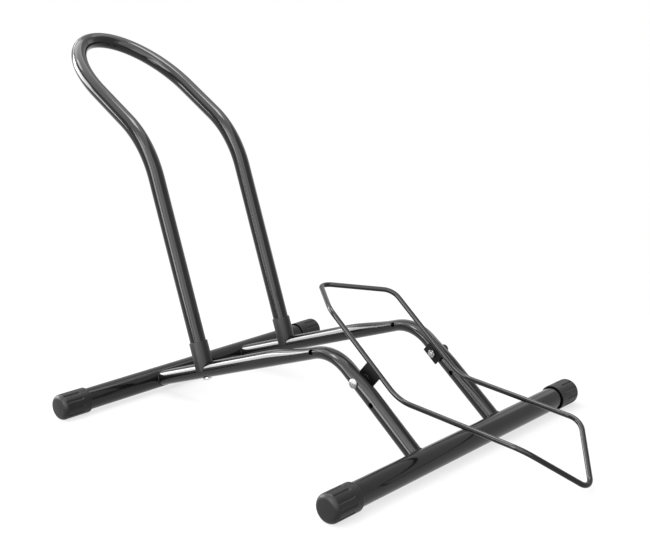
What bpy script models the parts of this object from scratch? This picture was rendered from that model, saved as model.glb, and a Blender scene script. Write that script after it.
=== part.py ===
"""Floor bike stand: two base tubes, two bent side tubes, a leaning support hoop
and a wire cradle that rocks about two pivot bolts and catches the wheel.

Frame of the model: +X is the right side, -Y is the side where the wheel rolls in,
+Z is up, and the origin is on the floor under the middle of the whole stand.
Every piece is drawn in a side view first: 'forward' runs from the axis of the rear
base tube towards the wheel entry (-Y), and 'up' runs from that axis towards +Z.
All lengths are in metres.
"""
import math

import bmesh
import bpy
from mathutils import Matrix, Vector

# Base tubes
BASE_SPACING = 0.510
BASE_TUBE_DIAMETER = 0.032
BASE_TUBE_WALL = 0.0015
BASE_OVERALL_WIDTH = 0.546

# End caps: closed end outwards, fluted, with a plain collar at the mouth
CAP_WALL = 0.0024
CAP_LENGTH = 0.0475
CAP_END_WALL = 0.0035
CAP_END_ROUND_DEPTH = 0.0075
CAP_END_ROUND_HEIGHT = 0.0070
CAP_MOUTH_RELIEF = 0.0015
CAP_MOUTH_DEPTH = 0.0035
CAP_LIP_CHAMFER = 0.0006
CAP_FLUTES = 11
CAP_FIRST_FLUTE = math.radians(66.5)
CAP_FLUTE_RADIUS = 0.0018
CAP_FLUTE_DEPTH = 0.0011
CAP_FLUTE_LENGTH = 0.030
CAP_COLLAR = 0.0125

# Side tubes, pressed flat on the outside of their bends
SIDE_SPACING = 0.176
SIDE_TUBE_DIAMETER = 0.0225
SIDE_TUBE_WALL = 0.0015
SIDE_REAR_RISE = math.radians(18.8)
SIDE_FRONT_FALL = math.radians(40.0)
SIDE_REAR_DROP = 0.0025
SIDE_FRONT_DROP = 0.0045
SIDE_BEND_RADIUS = 0.065
BEND_FLAT_DEPTH = 0.0060
BEND_FLAT_SPREAD = 0.0012
BEND_FLAT_BEFORE = 0.125
BEND_FLAT_AFTER = 0.085
BEND_FLAT_FADE_IN = 0.095
BEND_FLAT_FADE_OUT = 0.070
WELD_BEAD_RADIUS = 0.0012

# Pivot holes of the side tubes: the pivot is measured from the corner of the bend
PIVOT_FROM_CORNER = 0.058
LOWER_HOLE_FROM_PIVOT = 0.037
UPPER_HOLE_INTO_BEND = 0.005

# Support hoop, square to the rear run of the side tubes
HOOP_TUBE_DIAMETER = 0.024
HOOP_TUBE_WALL = 0.0015
HOOP_FORWARD = 0.110
HOOP_LEG_LENGTH = 0.346
HOOP_TOP_LEAN = math.radians(57.6)
HOOP_BEND_RADIUS = 0.156
HOOP_TOP_LENGTH = 0.129
HOOP_ARCH_HEIGHT = 0.136

# Plastic saddle sleeves at the feet of the hoop
SLEEVE_WALL = 0.0015
SLEEVE_HEIGHT = 0.0435
SLEEVE_SADDLE = 0.003
SLEEVE_CHAMFER = 0.0006

# Wheel cradle of bent rod, drawn in the side view from the pivot as (forward, up)
ROD_DIAMETER = 0.007
CRADLE_UPPER_APEX = (-0.1460, 0.0908)
CRADLE_UPPER_BEND = (-0.0678, 0.0809)
CRADLE_MIDDLE_BEND = (0.0493, -0.0199)
CRADLE_LOWER_BEND = (0.2365, -0.0393)
CRADLE_LOWER_APEX = (0.2922, -0.0957)
CRADLE_APEX_RADIUS = 0.0147
CRADLE_UPPER_RADIUS = 0.030
CRADLE_MIDDLE_RADIUS = 0.062
CRADLE_LOWER_RADIUS = 0.032

# Pivot brackets, welded flat against the outside of the rod
BRACKET_THICKNESS = 0.0025
BRACKET_LENGTH = 0.0275
BRACKET_BELOW_PIVOT = 0.008
BRACKET_ABOVE_ROD = 0.001
BRACKET_CORNER_RADIUS = 0.0008
BRACKET_BEAD_RADIUS = 0.0014

# M6 fasteners
BOLT_DIAMETER = 0.006
BOLT_CHAMFER = 0.0006
BOLT_END_SHOW = 0.0008
CUP_HEAD_DIAMETER = 0.0134
CUP_HEAD_HEIGHT = 0.0036
CUP_NECK_LENGTH = 0.0016
BUTTON_HEAD_DIAMETER = 0.0134
BUTTON_HEAD_HEIGHT = 0.0034
BUTTON_SOCKET_SIZE = 0.004
BUTTON_SOCKET_DEPTH = 0.002
BUTTON_BOLT_IN_LEG = 0.016
NUT_ACROSS_FLATS = 0.010
NUT_HEIGHT = 0.0032
NUT_CHAMFER = 0.0005
WASHER_DIAMETER = 0.0125
WASHER_THICKNESS = 0.0015
INSERT_LENGTH = 0.020

# Gap between pieces that touch, and between a bolt and what it passes through
SEAT_GAP = 0.0003
BOLT_CLEARANCE = 0.0003
INSERT_CLEARANCE = 0.0002
HEAD_OVERLAP = 0.001

# Fineness of the round shapes
BASE_SEGMENTS = 32
CAP_SEGMENTS = 40
CAP_ROUND_STEPS = 4
FLUTE_SEGMENTS = 8
SIDE_SEGMENTS = 20
SIDE_BORE_SEGMENTS = 12
FLAT_STATIONS = 18
HOOP_BEVEL_RESOLUTION = 6
HOOP_BORE_RESOLUTION = 4
ARCH_SEGMENTS = 18
ROD_BEVEL_RESOLUTION = 2
BOLT_SEGMENTS = 16
HEAD_STEPS = 5
NUT_SEGMENTS = 24
BEAD_POINTS = 20
BRACKET_BEAD_SEGMENTS = 8
ARC_STEP = math.radians(11)
SHARP_ANGLE = math.radians(35)

# Colour, roughness and metallic value of each finish
BLACK_PAINT = ((0.035, 0.035, 0.036), 0.3, 0.0)
DARK_PLASTIC = ((0.05, 0.05, 0.05), 0.55, 0.0)
ZINC_STEEL = ((0.7, 0.7, 0.7), 0.35, 1.0)

# Sizes that follow from the ones above
BASE_RADIUS = BASE_TUBE_DIAMETER / 2
SIDE_RADIUS = SIDE_TUBE_DIAMETER / 2
HOOP_RADIUS = HOOP_TUBE_DIAMETER / 2
ROD_RADIUS = ROD_DIAMETER / 2
BOLT_RADIUS = BOLT_DIAMETER / 2
BOLT_HOLE_RADIUS = BOLT_RADIUS + BOLT_CLEARANCE
CAP_BORE_RADIUS = BASE_RADIUS + SEAT_GAP
CAP_RADIUS = CAP_BORE_RADIUS + CAP_WALL
AXIS_HEIGHT = CAP_RADIUS * math.cos(math.pi / CAP_SEGMENTS)
SLEEVE_BORE_RADIUS = HOOP_RADIUS + SEAT_GAP
SLEEVE_RADIUS = SLEEVE_BORE_RADIUS + SLEEVE_WALL
HOOP_SEGMENTS = 4 + 2 * HOOP_BEVEL_RESOLUTION
HALF_SPACING = SIDE_SPACING / 2
SIDES = {"left": -1, "right": 1}


def smooth_step(share):
    """Ease from 0 to 1, level at both ends."""
    share = min(max(share, 0.0), 1.0)
    return share * share * (3 - 2 * share)


def side_view(forward, up, x=0.0):
    """A point or direction of the side view in the axes of the model."""
    return Vector((x, -forward, up))


def rounded_path(corners, radii):
    """Points along straight runs, with an arc of the given radius at each corner."""
    points = []
    count = len(corners)
    for index, (corner, radius) in enumerate(zip(corners, radii)):
        if radius == 0:
            points.append(corner)
            continue
        before = (corners[(index - 1) % count] - corner).normalized()
        after = (corners[(index + 1) % count] - corner).normalized()
        half_angle = before.angle(after) / 2
        centre = corner + (before + after).normalized() * radius / math.sin(half_angle)
        start = corner + before * radius / math.tan(half_angle) - centre
        turn = math.pi - 2 * half_angle
        axis = before.cross(start)
        steps = max(2, math.ceil(turn / ARC_STEP))
        for step in range(steps + 1):
            points.append(centre + Matrix.Rotation(turn * step / steps, 3, axis) @ start)
    return points


# The bent centre line of a side tube

def side_corner():
    """Where the two straight runs of a side tube would meet, as (forward, up)."""
    rise, fall = math.tan(SIDE_REAR_RISE), math.tan(SIDE_FRONT_FALL)
    forward = (BASE_SPACING * fall - SIDE_FRONT_DROP + SIDE_REAR_DROP) / (rise + fall)
    return forward, forward * rise - SIDE_REAR_DROP


BEND_TURN = SIDE_REAR_RISE + SIDE_FRONT_FALL
BEND_TANGENT = SIDE_BEND_RADIUS * math.tan(BEND_TURN / 2)
BEND_LENGTH = SIDE_BEND_RADIUS * BEND_TURN
CORNER_FORWARD, CORNER_UP = side_corner()
REAR_RUN = CORNER_FORWARD / math.cos(SIDE_REAR_RISE) - BEND_TANGENT
FRONT_RUN = (BASE_SPACING - CORNER_FORWARD) / math.cos(SIDE_FRONT_FALL) - BEND_TANGENT
SIDE_LENGTH = REAR_RUN + BEND_LENGTH + FRONT_RUN
BEND_MIDDLE = REAR_RUN + BEND_LENGTH / 2
PIVOT_STATION = REAR_RUN + BEND_LENGTH + PIVOT_FROM_CORNER - BEND_TANGENT


def side_line(station):
    """Point (forward, up) and slope of a side tube's axis at a length along it."""
    if station >= REAR_RUN + BEND_LENGTH:
        left = SIDE_LENGTH - station
        return (BASE_SPACING - left * math.cos(SIDE_FRONT_FALL),
                left * math.sin(SIDE_FRONT_FALL) - SIDE_FRONT_DROP, -SIDE_FRONT_FALL)
    straight = min(station, REAR_RUN)
    forward = straight * math.cos(SIDE_REAR_RISE)
    up = straight * math.sin(SIDE_REAR_RISE) - SIDE_REAR_DROP
    slope = SIDE_REAR_RISE - (station - straight) / SIDE_BEND_RADIUS
    forward += SIDE_BEND_RADIUS * (math.sin(SIDE_REAR_RISE) - math.sin(slope))
    up += SIDE_BEND_RADIUS * (math.cos(slope) - math.cos(SIDE_REAR_RISE))
    return forward, up, slope


def bend_flatness(station):
    """How far the tube is pressed flat here: 0 on the straight runs, 1 in the bend."""
    rising = smooth_step((station - BEND_MIDDLE + BEND_FLAT_BEFORE) / BEND_FLAT_FADE_IN)
    falling = smooth_step((BEND_MIDDLE + BEND_FLAT_AFTER - station) / BEND_FLAT_FADE_OUT)
    return rising * falling


def side_half_width(station):
    """Half the width of the side tube along X, which spreads where it is flattened."""
    return SIDE_RADIUS + BEND_FLAT_SPREAD * bend_flatness(station)


# The stack on a pivot bolt, as distances from the middle of the stand

PIVOT_FORWARD, PIVOT_UP, PIVOT_SLOPE = side_line(PIVOT_STATION)
TUBE_INNER_X = HALF_SPACING - side_half_width(PIVOT_STATION)
TUBE_OUTER_X = HALF_SPACING + side_half_width(PIVOT_STATION)
PIVOT_WASHER_X = TUBE_INNER_X - SEAT_GAP - WASHER_THICKNESS / 2
BRACKET_X = PIVOT_WASHER_X - WASHER_THICKNESS / 2 - SEAT_GAP - BRACKET_THICKNESS / 2
BRACKET_INNER_X = BRACKET_X - BRACKET_THICKNESS / 2
ROD_X = BRACKET_INNER_X - SEAT_GAP - ROD_RADIUS
NUT_X = BRACKET_INNER_X - SEAT_GAP - NUT_HEIGHT / 2
BOLT_END_X = NUT_X - NUT_HEIGHT / 2 - BOLT_END_SHOW


# The centre line of the hoop

HOOP_STATION = HOOP_FORWARD / math.cos(SIDE_REAR_RISE)
HOOP_FOOT = side_line(HOOP_STATION)
LEG_END = SIDE_RADIUS + SEAT_GAP + SLEEVE_SADDLE + SEAT_GAP


def leg_point(distance, x):
    """A point of a hoop leg's axis, at a distance square to the side tube's axis."""
    forward, up, slope = HOOP_FOOT
    return side_view(forward - distance * math.sin(slope), up + distance * math.cos(slope), x)


def top_point(distance, x):
    """A point at a distance past the hoop's bend, in the plane of its arch."""
    lean = side_view(-math.sin(HOOP_TOP_LEAN), math.cos(HOOP_TOP_LEAN))
    return leg_point(HOOP_LEG_LENGTH, x) + lean * distance


def arch_point(angle):
    """A point of the half-ellipse that closes the hoop, from 0 at the left to pi."""
    return top_point(HOOP_TOP_LENGTH + HOOP_ARCH_HEIGHT * math.sin(angle),
                     -HALF_SPACING * math.cos(angle))


def hoop_line(overrun):
    """The hoop's axis from the left foot over the arch to the right foot."""
    arch = [arch_point(math.pi * step / ARCH_SEGMENTS) for step in range(ARCH_SEGMENTS + 1)]
    legs = []
    for x in (-HALF_SPACING, HALF_SPACING):
        corners = [leg_point(LEG_END - overrun, x), leg_point(HOOP_LEG_LENGTH, x),
                   top_point(HOOP_TOP_LENGTH, x)]
        legs.append(rounded_path(corners, [0, HOOP_BEND_RADIUS, 0])[:-1])
    return legs[0] + arch + legs[1][::-1]


# The centre line of the cradle, from the pivot

def cradle_line():
    """The closed loop of rod: a V at each end and two bent legs between them."""
    upper, middle, lower = (
        [side_view(*bend, x) for x in (-ROD_X, ROD_X)]
        for bend in (CRADLE_UPPER_BEND, CRADLE_MIDDLE_BEND, CRADLE_LOWER_BEND))
    corners = [(upper[0] + middle[0]) / 2, middle[0], lower[0], side_view(*CRADLE_LOWER_APEX),
               lower[1], middle[1], upper[1], side_view(*CRADLE_UPPER_APEX), upper[0]]
    radii = [0, CRADLE_MIDDLE_RADIUS, CRADLE_LOWER_RADIUS, CRADLE_APEX_RADIUS,
             CRADLE_LOWER_RADIUS, CRADLE_MIDDLE_RADIUS, CRADLE_UPPER_RADIUS,
             CRADLE_APEX_RADIUS, CRADLE_UPPER_RADIUS]
    return rounded_path(corners, radii)


def bracket_axes():
    """Along the cradle's straight leg, out across it, and the rod's distance that way."""
    upper, middle = side_view(*CRADLE_UPPER_BEND), side_view(*CRADLE_MIDDLE_BEND)
    along = (middle - upper).normalized()
    out = along.cross(Vector((1, 0, 0)))
    return along, out, upper.dot(out)


# The origin on the floor, under the middle of everything

def middle_y():
    """How far the rear base tube lies behind the middle of the stand."""
    hoop_reach = max(point.y for point in hoop_line(0)) + HOOP_RADIUS
    cradle_reach = min(point.y for point in cradle_line()) - PIVOT_FORWARD - ROD_RADIUS
    return -(hoop_reach + cradle_reach) / 2


STAND_ORIGIN = Vector((0, middle_y(), AXIS_HEIGHT))
PIVOT_ORIGIN = STAND_ORIGIN + side_view(PIVOT_FORWARD, PIVOT_UP)


# Making objects

def clear_scene():
    for obj in list(bpy.data.objects):
        bpy.data.objects.remove(obj, do_unlink=True)


def new_collection(name):
    collection = bpy.data.collections.new(name)
    bpy.context.scene.collection.children.link(collection)
    return collection


def new_material(name, finish):
    """A Principled material from a finish's colour, roughness and metallic value."""
    colour, roughness, metallic = finish
    material = bpy.data.materials.new(name)
    material.use_nodes = True
    shader = material.node_tree.nodes["Principled BSDF"]
    shader.inputs["Base Color"].default_value = (*colour, 1)
    shader.inputs["Roughness"].default_value = roughness
    shader.inputs["Metallic"].default_value = metallic
    material.diffuse_color = (*colour, 1)
    return material


def add_object(name, data, place):
    """Put new data in the scene, among the parts until it becomes a cutter."""
    obj = bpy.data.objects.new(name, data)
    PARTS.objects.link(obj)
    obj.matrix_world = place
    return obj


def complete(obj, finish, body):
    """Give a part its material, smooth round faces and the body that carries it."""
    obj.data.materials.clear()
    obj.data.materials.append(new_material(obj.name, finish))
    obj.data.shade_smooth()
    obj.data.set_sharp_from_angle(angle=SHARP_ANGLE)
    obj.parent = body
    obj.matrix_parent_inverse = body.matrix_world.inverted()


def combine(obj, other, operation):
    """Join or cut an object with another, which is kept out of the render."""
    PARTS.objects.unlink(other)
    CUTTERS.objects.link(other)
    other.hide_render = True
    other.display_type = "WIRE"
    modifier = obj.modifiers.new(other.name, "BOOLEAN")
    modifier.operation = operation
    modifier.object = other
    modifier.solver = "EXACT"


def cut(obj, *others):
    for other in others:
        combine(obj, other, "DIFFERENCE")


def join(obj, *others):
    for other in others:
        combine(obj, other, "UNION")


def axis_place(point, direction):
    """A place whose local Z runs along a direction, with its local X kept level."""
    z_axis = Vector(direction).normalized()
    guide = Vector((0, 1, 0)) if abs(z_axis.x) > 0.5 else Vector((1, 0, 0))
    x_axis = (guide - z_axis * guide.dot(z_axis)).normalized()
    place = Matrix((x_axis, z_axis.cross(x_axis), z_axis)).transposed().to_4x4()
    place.translation = point
    return place


def bmesh_object(name, body, place):
    mesh = bpy.data.meshes.new(name)
    body.to_mesh(mesh)
    body.free()
    return add_object(name, mesh, place)


def cylinder(name, radius, length, place, segments=BOLT_SEGMENTS):
    """A cylinder along local Z, centred on its place."""
    body = bmesh.new()
    bmesh.ops.create_cone(body, cap_ends=True, segments=segments,
                          radius1=radius, radius2=radius, depth=length)
    return bmesh_object(name, body, place)


def block(name, size, place):
    """A box centred on its place."""
    body = bmesh.new()
    bmesh.ops.create_cube(body, size=1, matrix=Matrix.Diagonal((*size, 1)))
    return bmesh_object(name, body, place)


def turned(name, profile, place, segments=BOLT_SEGMENTS, closed=False):
    """A turned piece: (radius, height) points swept round local Z, outer side downwards."""
    mesh = bpy.data.meshes.new(name)
    edges = [(index, index + 1) for index in range(len(profile) - 1)]
    if closed:
        edges.append((len(profile) - 1, 0))
    mesh.from_pydata([(radius, 0, height) for radius, height in profile], edges, [])
    obj = add_object(name, mesh, place)
    screw = obj.modifiers.new("turn", "SCREW")
    screw.steps = screw.render_steps = segments
    screw.use_merge_vertices = True
    screw.merge_threshold = 0.00001
    return obj


def ring(name, outer, inner, height, place, segments=BOLT_SEGMENTS):
    """A plain tube or washer along local Z, centred on its place."""
    half = height / 2
    profile = [(outer, half), (outer, -half), (inner, -half), (inner, half)]
    return turned(name, profile, place, segments, closed=True)


def as_mesh(obj):
    """Replace a curve by its mesh, with the loose caps welded on."""
    depsgraph = bpy.context.evaluated_depsgraph_get()
    mesh = bpy.data.meshes.new_from_object(obj.evaluated_get(depsgraph))
    body = bmesh.new()
    body.from_mesh(mesh)
    bmesh.ops.remove_doubles(body, verts=body.verts, dist=0.00001)
    body.to_mesh(mesh)
    body.free()
    name, place = obj.name, obj.matrix_world.copy()
    bpy.data.objects.remove(obj)
    return add_object(name, mesh, place)


def add_spline(curve, points, closed):
    spline = curve.splines.new("POLY")
    spline.points.add(len(points) - 1)
    for target, point in zip(spline.points, points):
        target.co = (*point, 1)
    spline.use_cyclic_u = closed


def rod_along(name, points, radius, resolution, place, closed=False):
    """A round bar along points, as a mesh with closed ends or one closed loop."""
    curve = bpy.data.curves.new(name, "CURVE")
    curve.dimensions = "3D"
    curve.bevel_depth = radius
    curve.bevel_resolution = resolution
    curve.use_fill_caps = not closed
    add_spline(curve, points, closed)
    return as_mesh(add_object(name, curve, place))


def plate(name, outline, thickness, place):
    """A flat outline given its thickness, centred on its place."""
    curve = bpy.data.curves.new(name, "CURVE")
    curve.dimensions = "2D"
    curve.fill_mode = "BOTH"
    curve.extrude = thickness / 2
    add_spline(curve, outline, closed=True)
    return as_mesh(add_object(name, curve, place))


def hexagon(name, across_flats, height, place):
    """A hexagonal prism along local Z, with its corners up and down."""
    corner = across_flats / 2 / math.cos(math.pi / 6)
    return cylinder(name, corner, height, place @ Matrix.Rotation(math.pi / 2, 4, "Z"), 6)


# Base tubes and end caps

def base_point(row, x=0.0):
    """A point on the axis of a base tube."""
    forward = BASE_SPACING if row == "front" else 0.0
    return STAND_ORIGIN + side_view(forward, 0, x)


def base_tube(row, body):
    """A straight round tube, open at its ends under the caps."""
    length = BASE_OVERALL_WIDTH - 2 * (CAP_END_WALL + SEAT_GAP)
    tube = ring(row + "_base_tube", BASE_RADIUS, BASE_RADIUS - BASE_TUBE_WALL, length,
                axis_place(base_point(row), (1, 0, 0)), BASE_SEGMENTS)
    complete(tube, BLACK_PAINT, body)


def cap_profile():
    """The end cap with its mouth at height 0: outer side, rounded end and bore."""
    profile = [(0, CAP_LENGTH)]
    for step in range(CAP_ROUND_STEPS + 1):
        angle = math.pi / 2 * step / CAP_ROUND_STEPS
        profile.append((CAP_RADIUS - CAP_END_ROUND_HEIGHT * (1 - math.sin(angle)),
                        CAP_LENGTH - CAP_END_ROUND_DEPTH * (1 - math.cos(angle))))
    mouth = CAP_BORE_RADIUS + CAP_MOUTH_RELIEF
    floor = CAP_LENGTH - CAP_END_WALL
    return profile + [(CAP_RADIUS, CAP_LIP_CHAMFER), (CAP_RADIUS - CAP_LIP_CHAMFER, 0),
                      (mouth, 0), (mouth, CAP_MOUTH_DEPTH - CAP_MOUTH_RELIEF),
                      (CAP_BORE_RADIUS, CAP_MOUTH_DEPTH), (CAP_BORE_RADIUS, floor), (0, floor)]


def flute_cutter(name, mouth, sign):
    """The flutes of a cap, one round bar for each, sunk in its outside."""
    middle = mouth + Vector((sign * (CAP_COLLAR + CAP_FLUTE_LENGTH / 2), 0, 0))
    reach = CAP_RADIUS + CAP_FLUTE_RADIUS - CAP_FLUTE_DEPTH
    body = bmesh.new()
    for step in range(CAP_FLUTES):
        angle = CAP_FIRST_FLUTE - 2 * math.pi * step / CAP_FLUTES
        centre = middle + side_view(math.cos(angle), math.sin(angle)) * reach
        bmesh.ops.create_cone(body, cap_ends=True, segments=FLUTE_SEGMENTS,
                              radius1=CAP_FLUTE_RADIUS, radius2=CAP_FLUTE_RADIUS,
                              depth=CAP_FLUTE_LENGTH, matrix=axis_place(centre, (1, 0, 0)))
    return bmesh_object(name, body, Matrix.Identity(4))


def end_cap(row, side, body):
    """A fluted plastic cap, which closes the tube and is a foot of the stand."""
    sign = SIDES[side]
    mouth = base_point(row, sign * (BASE_OVERALL_WIDTH / 2 - CAP_LENGTH))
    facet_down = Matrix.Rotation(math.pi / CAP_SEGMENTS, 4, "Z")
    name = f"end_cap_{row}_{side}"
    cap = turned(name, cap_profile(), axis_place(mouth, (sign, 0, 0)) @ facet_down, CAP_SEGMENTS)
    cut(cap, flute_cutter(name + "_flutes", mouth, sign))
    complete(cap, DARK_PLASTIC, body)


# Side tubes

def section(station, inset, segments):
    """Points round a side tube: a circle whose outer half sinks where it is flattened."""
    on_tube = min(max(station, 0), SIDE_LENGTH)
    forward, up, slope = side_line(on_tube)
    axis = side_view(forward, up)
    axis += side_view(math.cos(slope), math.sin(slope)) * (station - on_tube)
    out = side_view(-math.sin(slope), math.cos(slope))
    above = SIDE_RADIUS - BEND_FLAT_DEPTH * bend_flatness(station) - inset
    below = SIDE_RADIUS - inset
    points = []
    for step in range(segments):
        angle = 2 * math.pi * step / segments
        across = (side_half_width(station) - inset) * math.cos(angle)
        height = (above if math.sin(angle) > 0 else below) * math.sin(angle)
        points.append(axis + out * height + Vector((across, 0, 0)))
    return points


def side_loft(name, overrun, inset, segments, place):
    """A solid through the tube's sections: few on the straight runs, many in the bend."""
    start = max(BEND_MIDDLE - BEND_FLAT_BEFORE, SIDE_TUBE_DIAMETER)
    end = min(BEND_MIDDLE + BEND_FLAT_AFTER, SIDE_LENGTH - SIDE_TUBE_DIAMETER)
    stations = [start + (end - start) * step / FLAT_STATIONS
                for step in range(FLAT_STATIONS + 1)]
    stations = [-overrun] + stations + [SIDE_LENGTH + overrun]
    body = bmesh.new()
    rings = [[body.verts.new(point) for point in section(station, inset, segments)]
             for station in stations]
    for near, far in zip(rings, rings[1:]):
        for step in range(segments):
            after = (step + 1) % segments
            body.faces.new((near[step], near[after], far[after], far[step]))
    body.faces.new(rings[0])
    body.faces.new(rings[-1])
    bmesh.ops.recalc_face_normals(body, faces=body.faces)
    return bmesh_object(name, body, place)


def bead_line(row):
    """Points round a side tube where its surface comes down on the base tube."""
    end = 0.0 if row == "rear" else SIDE_LENGTH
    inward = 1 if row == "rear" else -1
    forward, up, slope = side_line(end)
    along = side_view(math.cos(slope), math.sin(slope)) * inward
    out = side_view(-math.sin(slope), math.cos(slope))
    axis = side_view(forward, up) - side_view(BASE_SPACING if row == "front" else 0.0, 0)
    reach = BASE_RADIUS + SEAT_GAP + WELD_BEAD_RADIUS / 2
    points = []
    for step in range(BEAD_POINTS):
        angle = 2 * math.pi * step / BEAD_POINTS
        foot = axis + out * SIDE_RADIUS * math.sin(angle)
        travel = math.sqrt(foot.dot(along) ** 2 - foot.length_squared + reach * reach)
        point = foot + along * (travel - foot.dot(along))
        point.x = SIDE_RADIUS * math.cos(angle)
        points.append(point + side_view(BASE_SPACING if row == "front" else 0.0, 0))
    return points


def pivot_hole(name, station, sign):
    """Cutters for the bolt's square neck in the outer wall and its shank in the inner."""
    forward, up, slope = side_line(station)
    centre = STAND_ORIGIN + side_view(forward, up, sign * HALF_SPACING)
    reach = SIDE_TUBE_DIAMETER
    square = 2 * BOLT_HOLE_RADIUS
    half_way = Vector((sign * reach / 2, 0, 0))
    outer = Matrix.Translation(centre + half_way) @ Matrix.Rotation(-slope, 4, "X")
    return (block(name + "_square", (reach, square, square), outer),
            cylinder(name + "_round", BOLT_HOLE_RADIUS, reach,
                     axis_place(centre - half_way, (1, 0, 0))))


def side_tube(side, body):
    """A bent tube with coped and welded ends, three pivot holes and the hoop's bolt hole."""
    sign = SIDES[side]
    name = "side_tube_" + side
    place = Matrix.Translation(STAND_ORIGIN + Vector((sign * HALF_SPACING, 0, 0)))
    tube = side_loft(name, 0, 0, SIDE_SEGMENTS, place)
    for row in ("rear", "front"):
        join(tube, rod_along(f"{name}_{row}_bead", bead_line(row), WELD_BEAD_RADIUS, 1, place,
                             closed=True))
    cut(tube, side_loft(name + "_bore", SIDE_RADIUS, SIDE_TUBE_WALL, SIDE_BORE_SEGMENTS, place))
    for row in ("rear", "front"):
        around_base = axis_place(base_point(row, sign * HALF_SPACING), (1, 0, 0))
        cut(tube, cylinder(f"{name}_{row}_cope", BASE_RADIUS + SEAT_GAP, 3 * SIDE_TUBE_DIAMETER,
                           around_base, BASE_SEGMENTS))
    holes = {"upper": REAR_RUN + UPPER_HOLE_INTO_BEND, "pivot": PIVOT_STATION,
             "lower": PIVOT_STATION + LOWER_HOLE_FROM_PIVOT}
    for hole, station in holes.items():
        cut(tube, *pivot_hole(f"{name}_{hole}_hole", station, sign))
    cut(tube, cylinder(name + "_bolt_hole", BOLT_HOLE_RADIUS, 2 * SIDE_TUBE_DIAMETER,
                       leg_place(sign, 0)))
    complete(tube, BLACK_PAINT, body)


# Support hoop, its sleeves, and what bolts it down

def leg_place(sign, distance):
    """A place on the axis of a hoop leg, with local Z up the leg."""
    foot = STAND_ORIGIN + leg_point(distance, sign * HALF_SPACING)
    return axis_place(foot, leg_point(1, 0) - leg_point(0, 0))


def support_hoop(body):
    """One tube bent to an inverted U and leant back, open at its feet."""
    place = Matrix.Translation(STAND_ORIGIN)
    hoop = rod_along("support_hoop", hoop_line(0), HOOP_RADIUS, HOOP_BEVEL_RESOLUTION, place)
    cut(hoop, rod_along("support_hoop_bore", hoop_line(HOOP_TUBE_WALL),
                        HOOP_RADIUS - HOOP_TUBE_WALL, HOOP_BORE_RESOLUTION, place))
    complete(hoop, BLACK_PAINT, body)


def hoop_sleeve(side, body):
    """A plastic sleeve on the foot of the hoop, with a saddle over the side tube."""
    sign = SIDES[side]
    name = "hoop_sleeve_" + side
    profile = [(0, SLEEVE_HEIGHT), (SLEEVE_RADIUS - SLEEVE_CHAMFER, SLEEVE_HEIGHT),
               (SLEEVE_RADIUS, SLEEVE_HEIGHT - SLEEVE_CHAMFER), (SLEEVE_RADIUS, 0), (0, 0)]
    sleeve = turned(name, profile, leg_place(sign, 0), HOOP_SEGMENTS)
    cut(sleeve,
        cylinder(name + "_bore", SLEEVE_BORE_RADIUS, SLEEVE_HEIGHT,
                 leg_place(sign, LEG_END - SEAT_GAP + SLEEVE_HEIGHT / 2), HOOP_SEGMENTS),
        cylinder(name + "_saddle", SIDE_RADIUS + SEAT_GAP, 4 * SLEEVE_RADIUS,
                 leg_place(sign, 0) @ Matrix.Rotation(math.pi / 2, 4, "X"), SIDE_SEGMENTS),
        cylinder(name + "_bolt_hole", BOLT_HOLE_RADIUS, 2 * SLEEVE_HEIGHT, leg_place(sign, 0)))
    complete(sleeve, DARK_PLASTIC, body)


def leg_insert(side, body):
    """A threaded steel plug pressed into the foot of the hoop."""
    bore = (HOOP_RADIUS - HOOP_TUBE_WALL) * math.cos(math.pi / (4 + 2 * HOOP_BORE_RESOLUTION))
    plug = ring("leg_insert_" + side, bore - INSERT_CLEARANCE, BOLT_HOLE_RADIUS, INSERT_LENGTH,
                leg_place(SIDES[side], LEG_END + INSERT_LENGTH / 2))
    complete(plug, ZINC_STEEL, body)


def headed_bolt(name, head_radius, head_height, length, place):
    """A domed head over height 0 and a chamfered shank below it."""
    profile = []
    for step in range(HEAD_STEPS + 1):
        angle = math.pi / 2 * step / HEAD_STEPS
        profile.append((head_radius * math.sin(angle), head_height * math.cos(angle)))
    profile += [(BOLT_RADIUS, 0), (BOLT_RADIUS, BOLT_CHAMFER - length),
                (BOLT_RADIUS - BOLT_CHAMFER, -length), (0, -length)]
    return turned(name, profile, place)


def hoop_bolt(side, body):
    """A button-head bolt from below, through the side tube into the plug in the leg."""
    seat = -(SIDE_RADIUS + SEAT_GAP)
    head_down = leg_place(SIDES[side], seat) @ Matrix.Rotation(math.pi, 4, "X")
    name = "hoop_bolt_" + side
    bolt = headed_bolt(name, BUTTON_HEAD_DIAMETER / 2, BUTTON_HEAD_HEIGHT,
                       LEG_END + BUTTON_BOLT_IN_LEG - seat, head_down)
    socket_top = head_down @ Matrix.Translation((0, 0, BUTTON_HEAD_HEIGHT))
    cut(bolt, hexagon(name + "_socket", BUTTON_SOCKET_SIZE, 2 * BUTTON_SOCKET_DEPTH, socket_top))
    complete(bolt, ZINC_STEEL, body)


# Pivots

def pivot_place(side, x):
    """A place on the pivot's axis, with local Z away from the middle of the stand."""
    sign = SIDES[side]
    return axis_place(PIVOT_ORIGIN + Vector((sign * x, 0, 0)), (sign, 0, 0))


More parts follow.
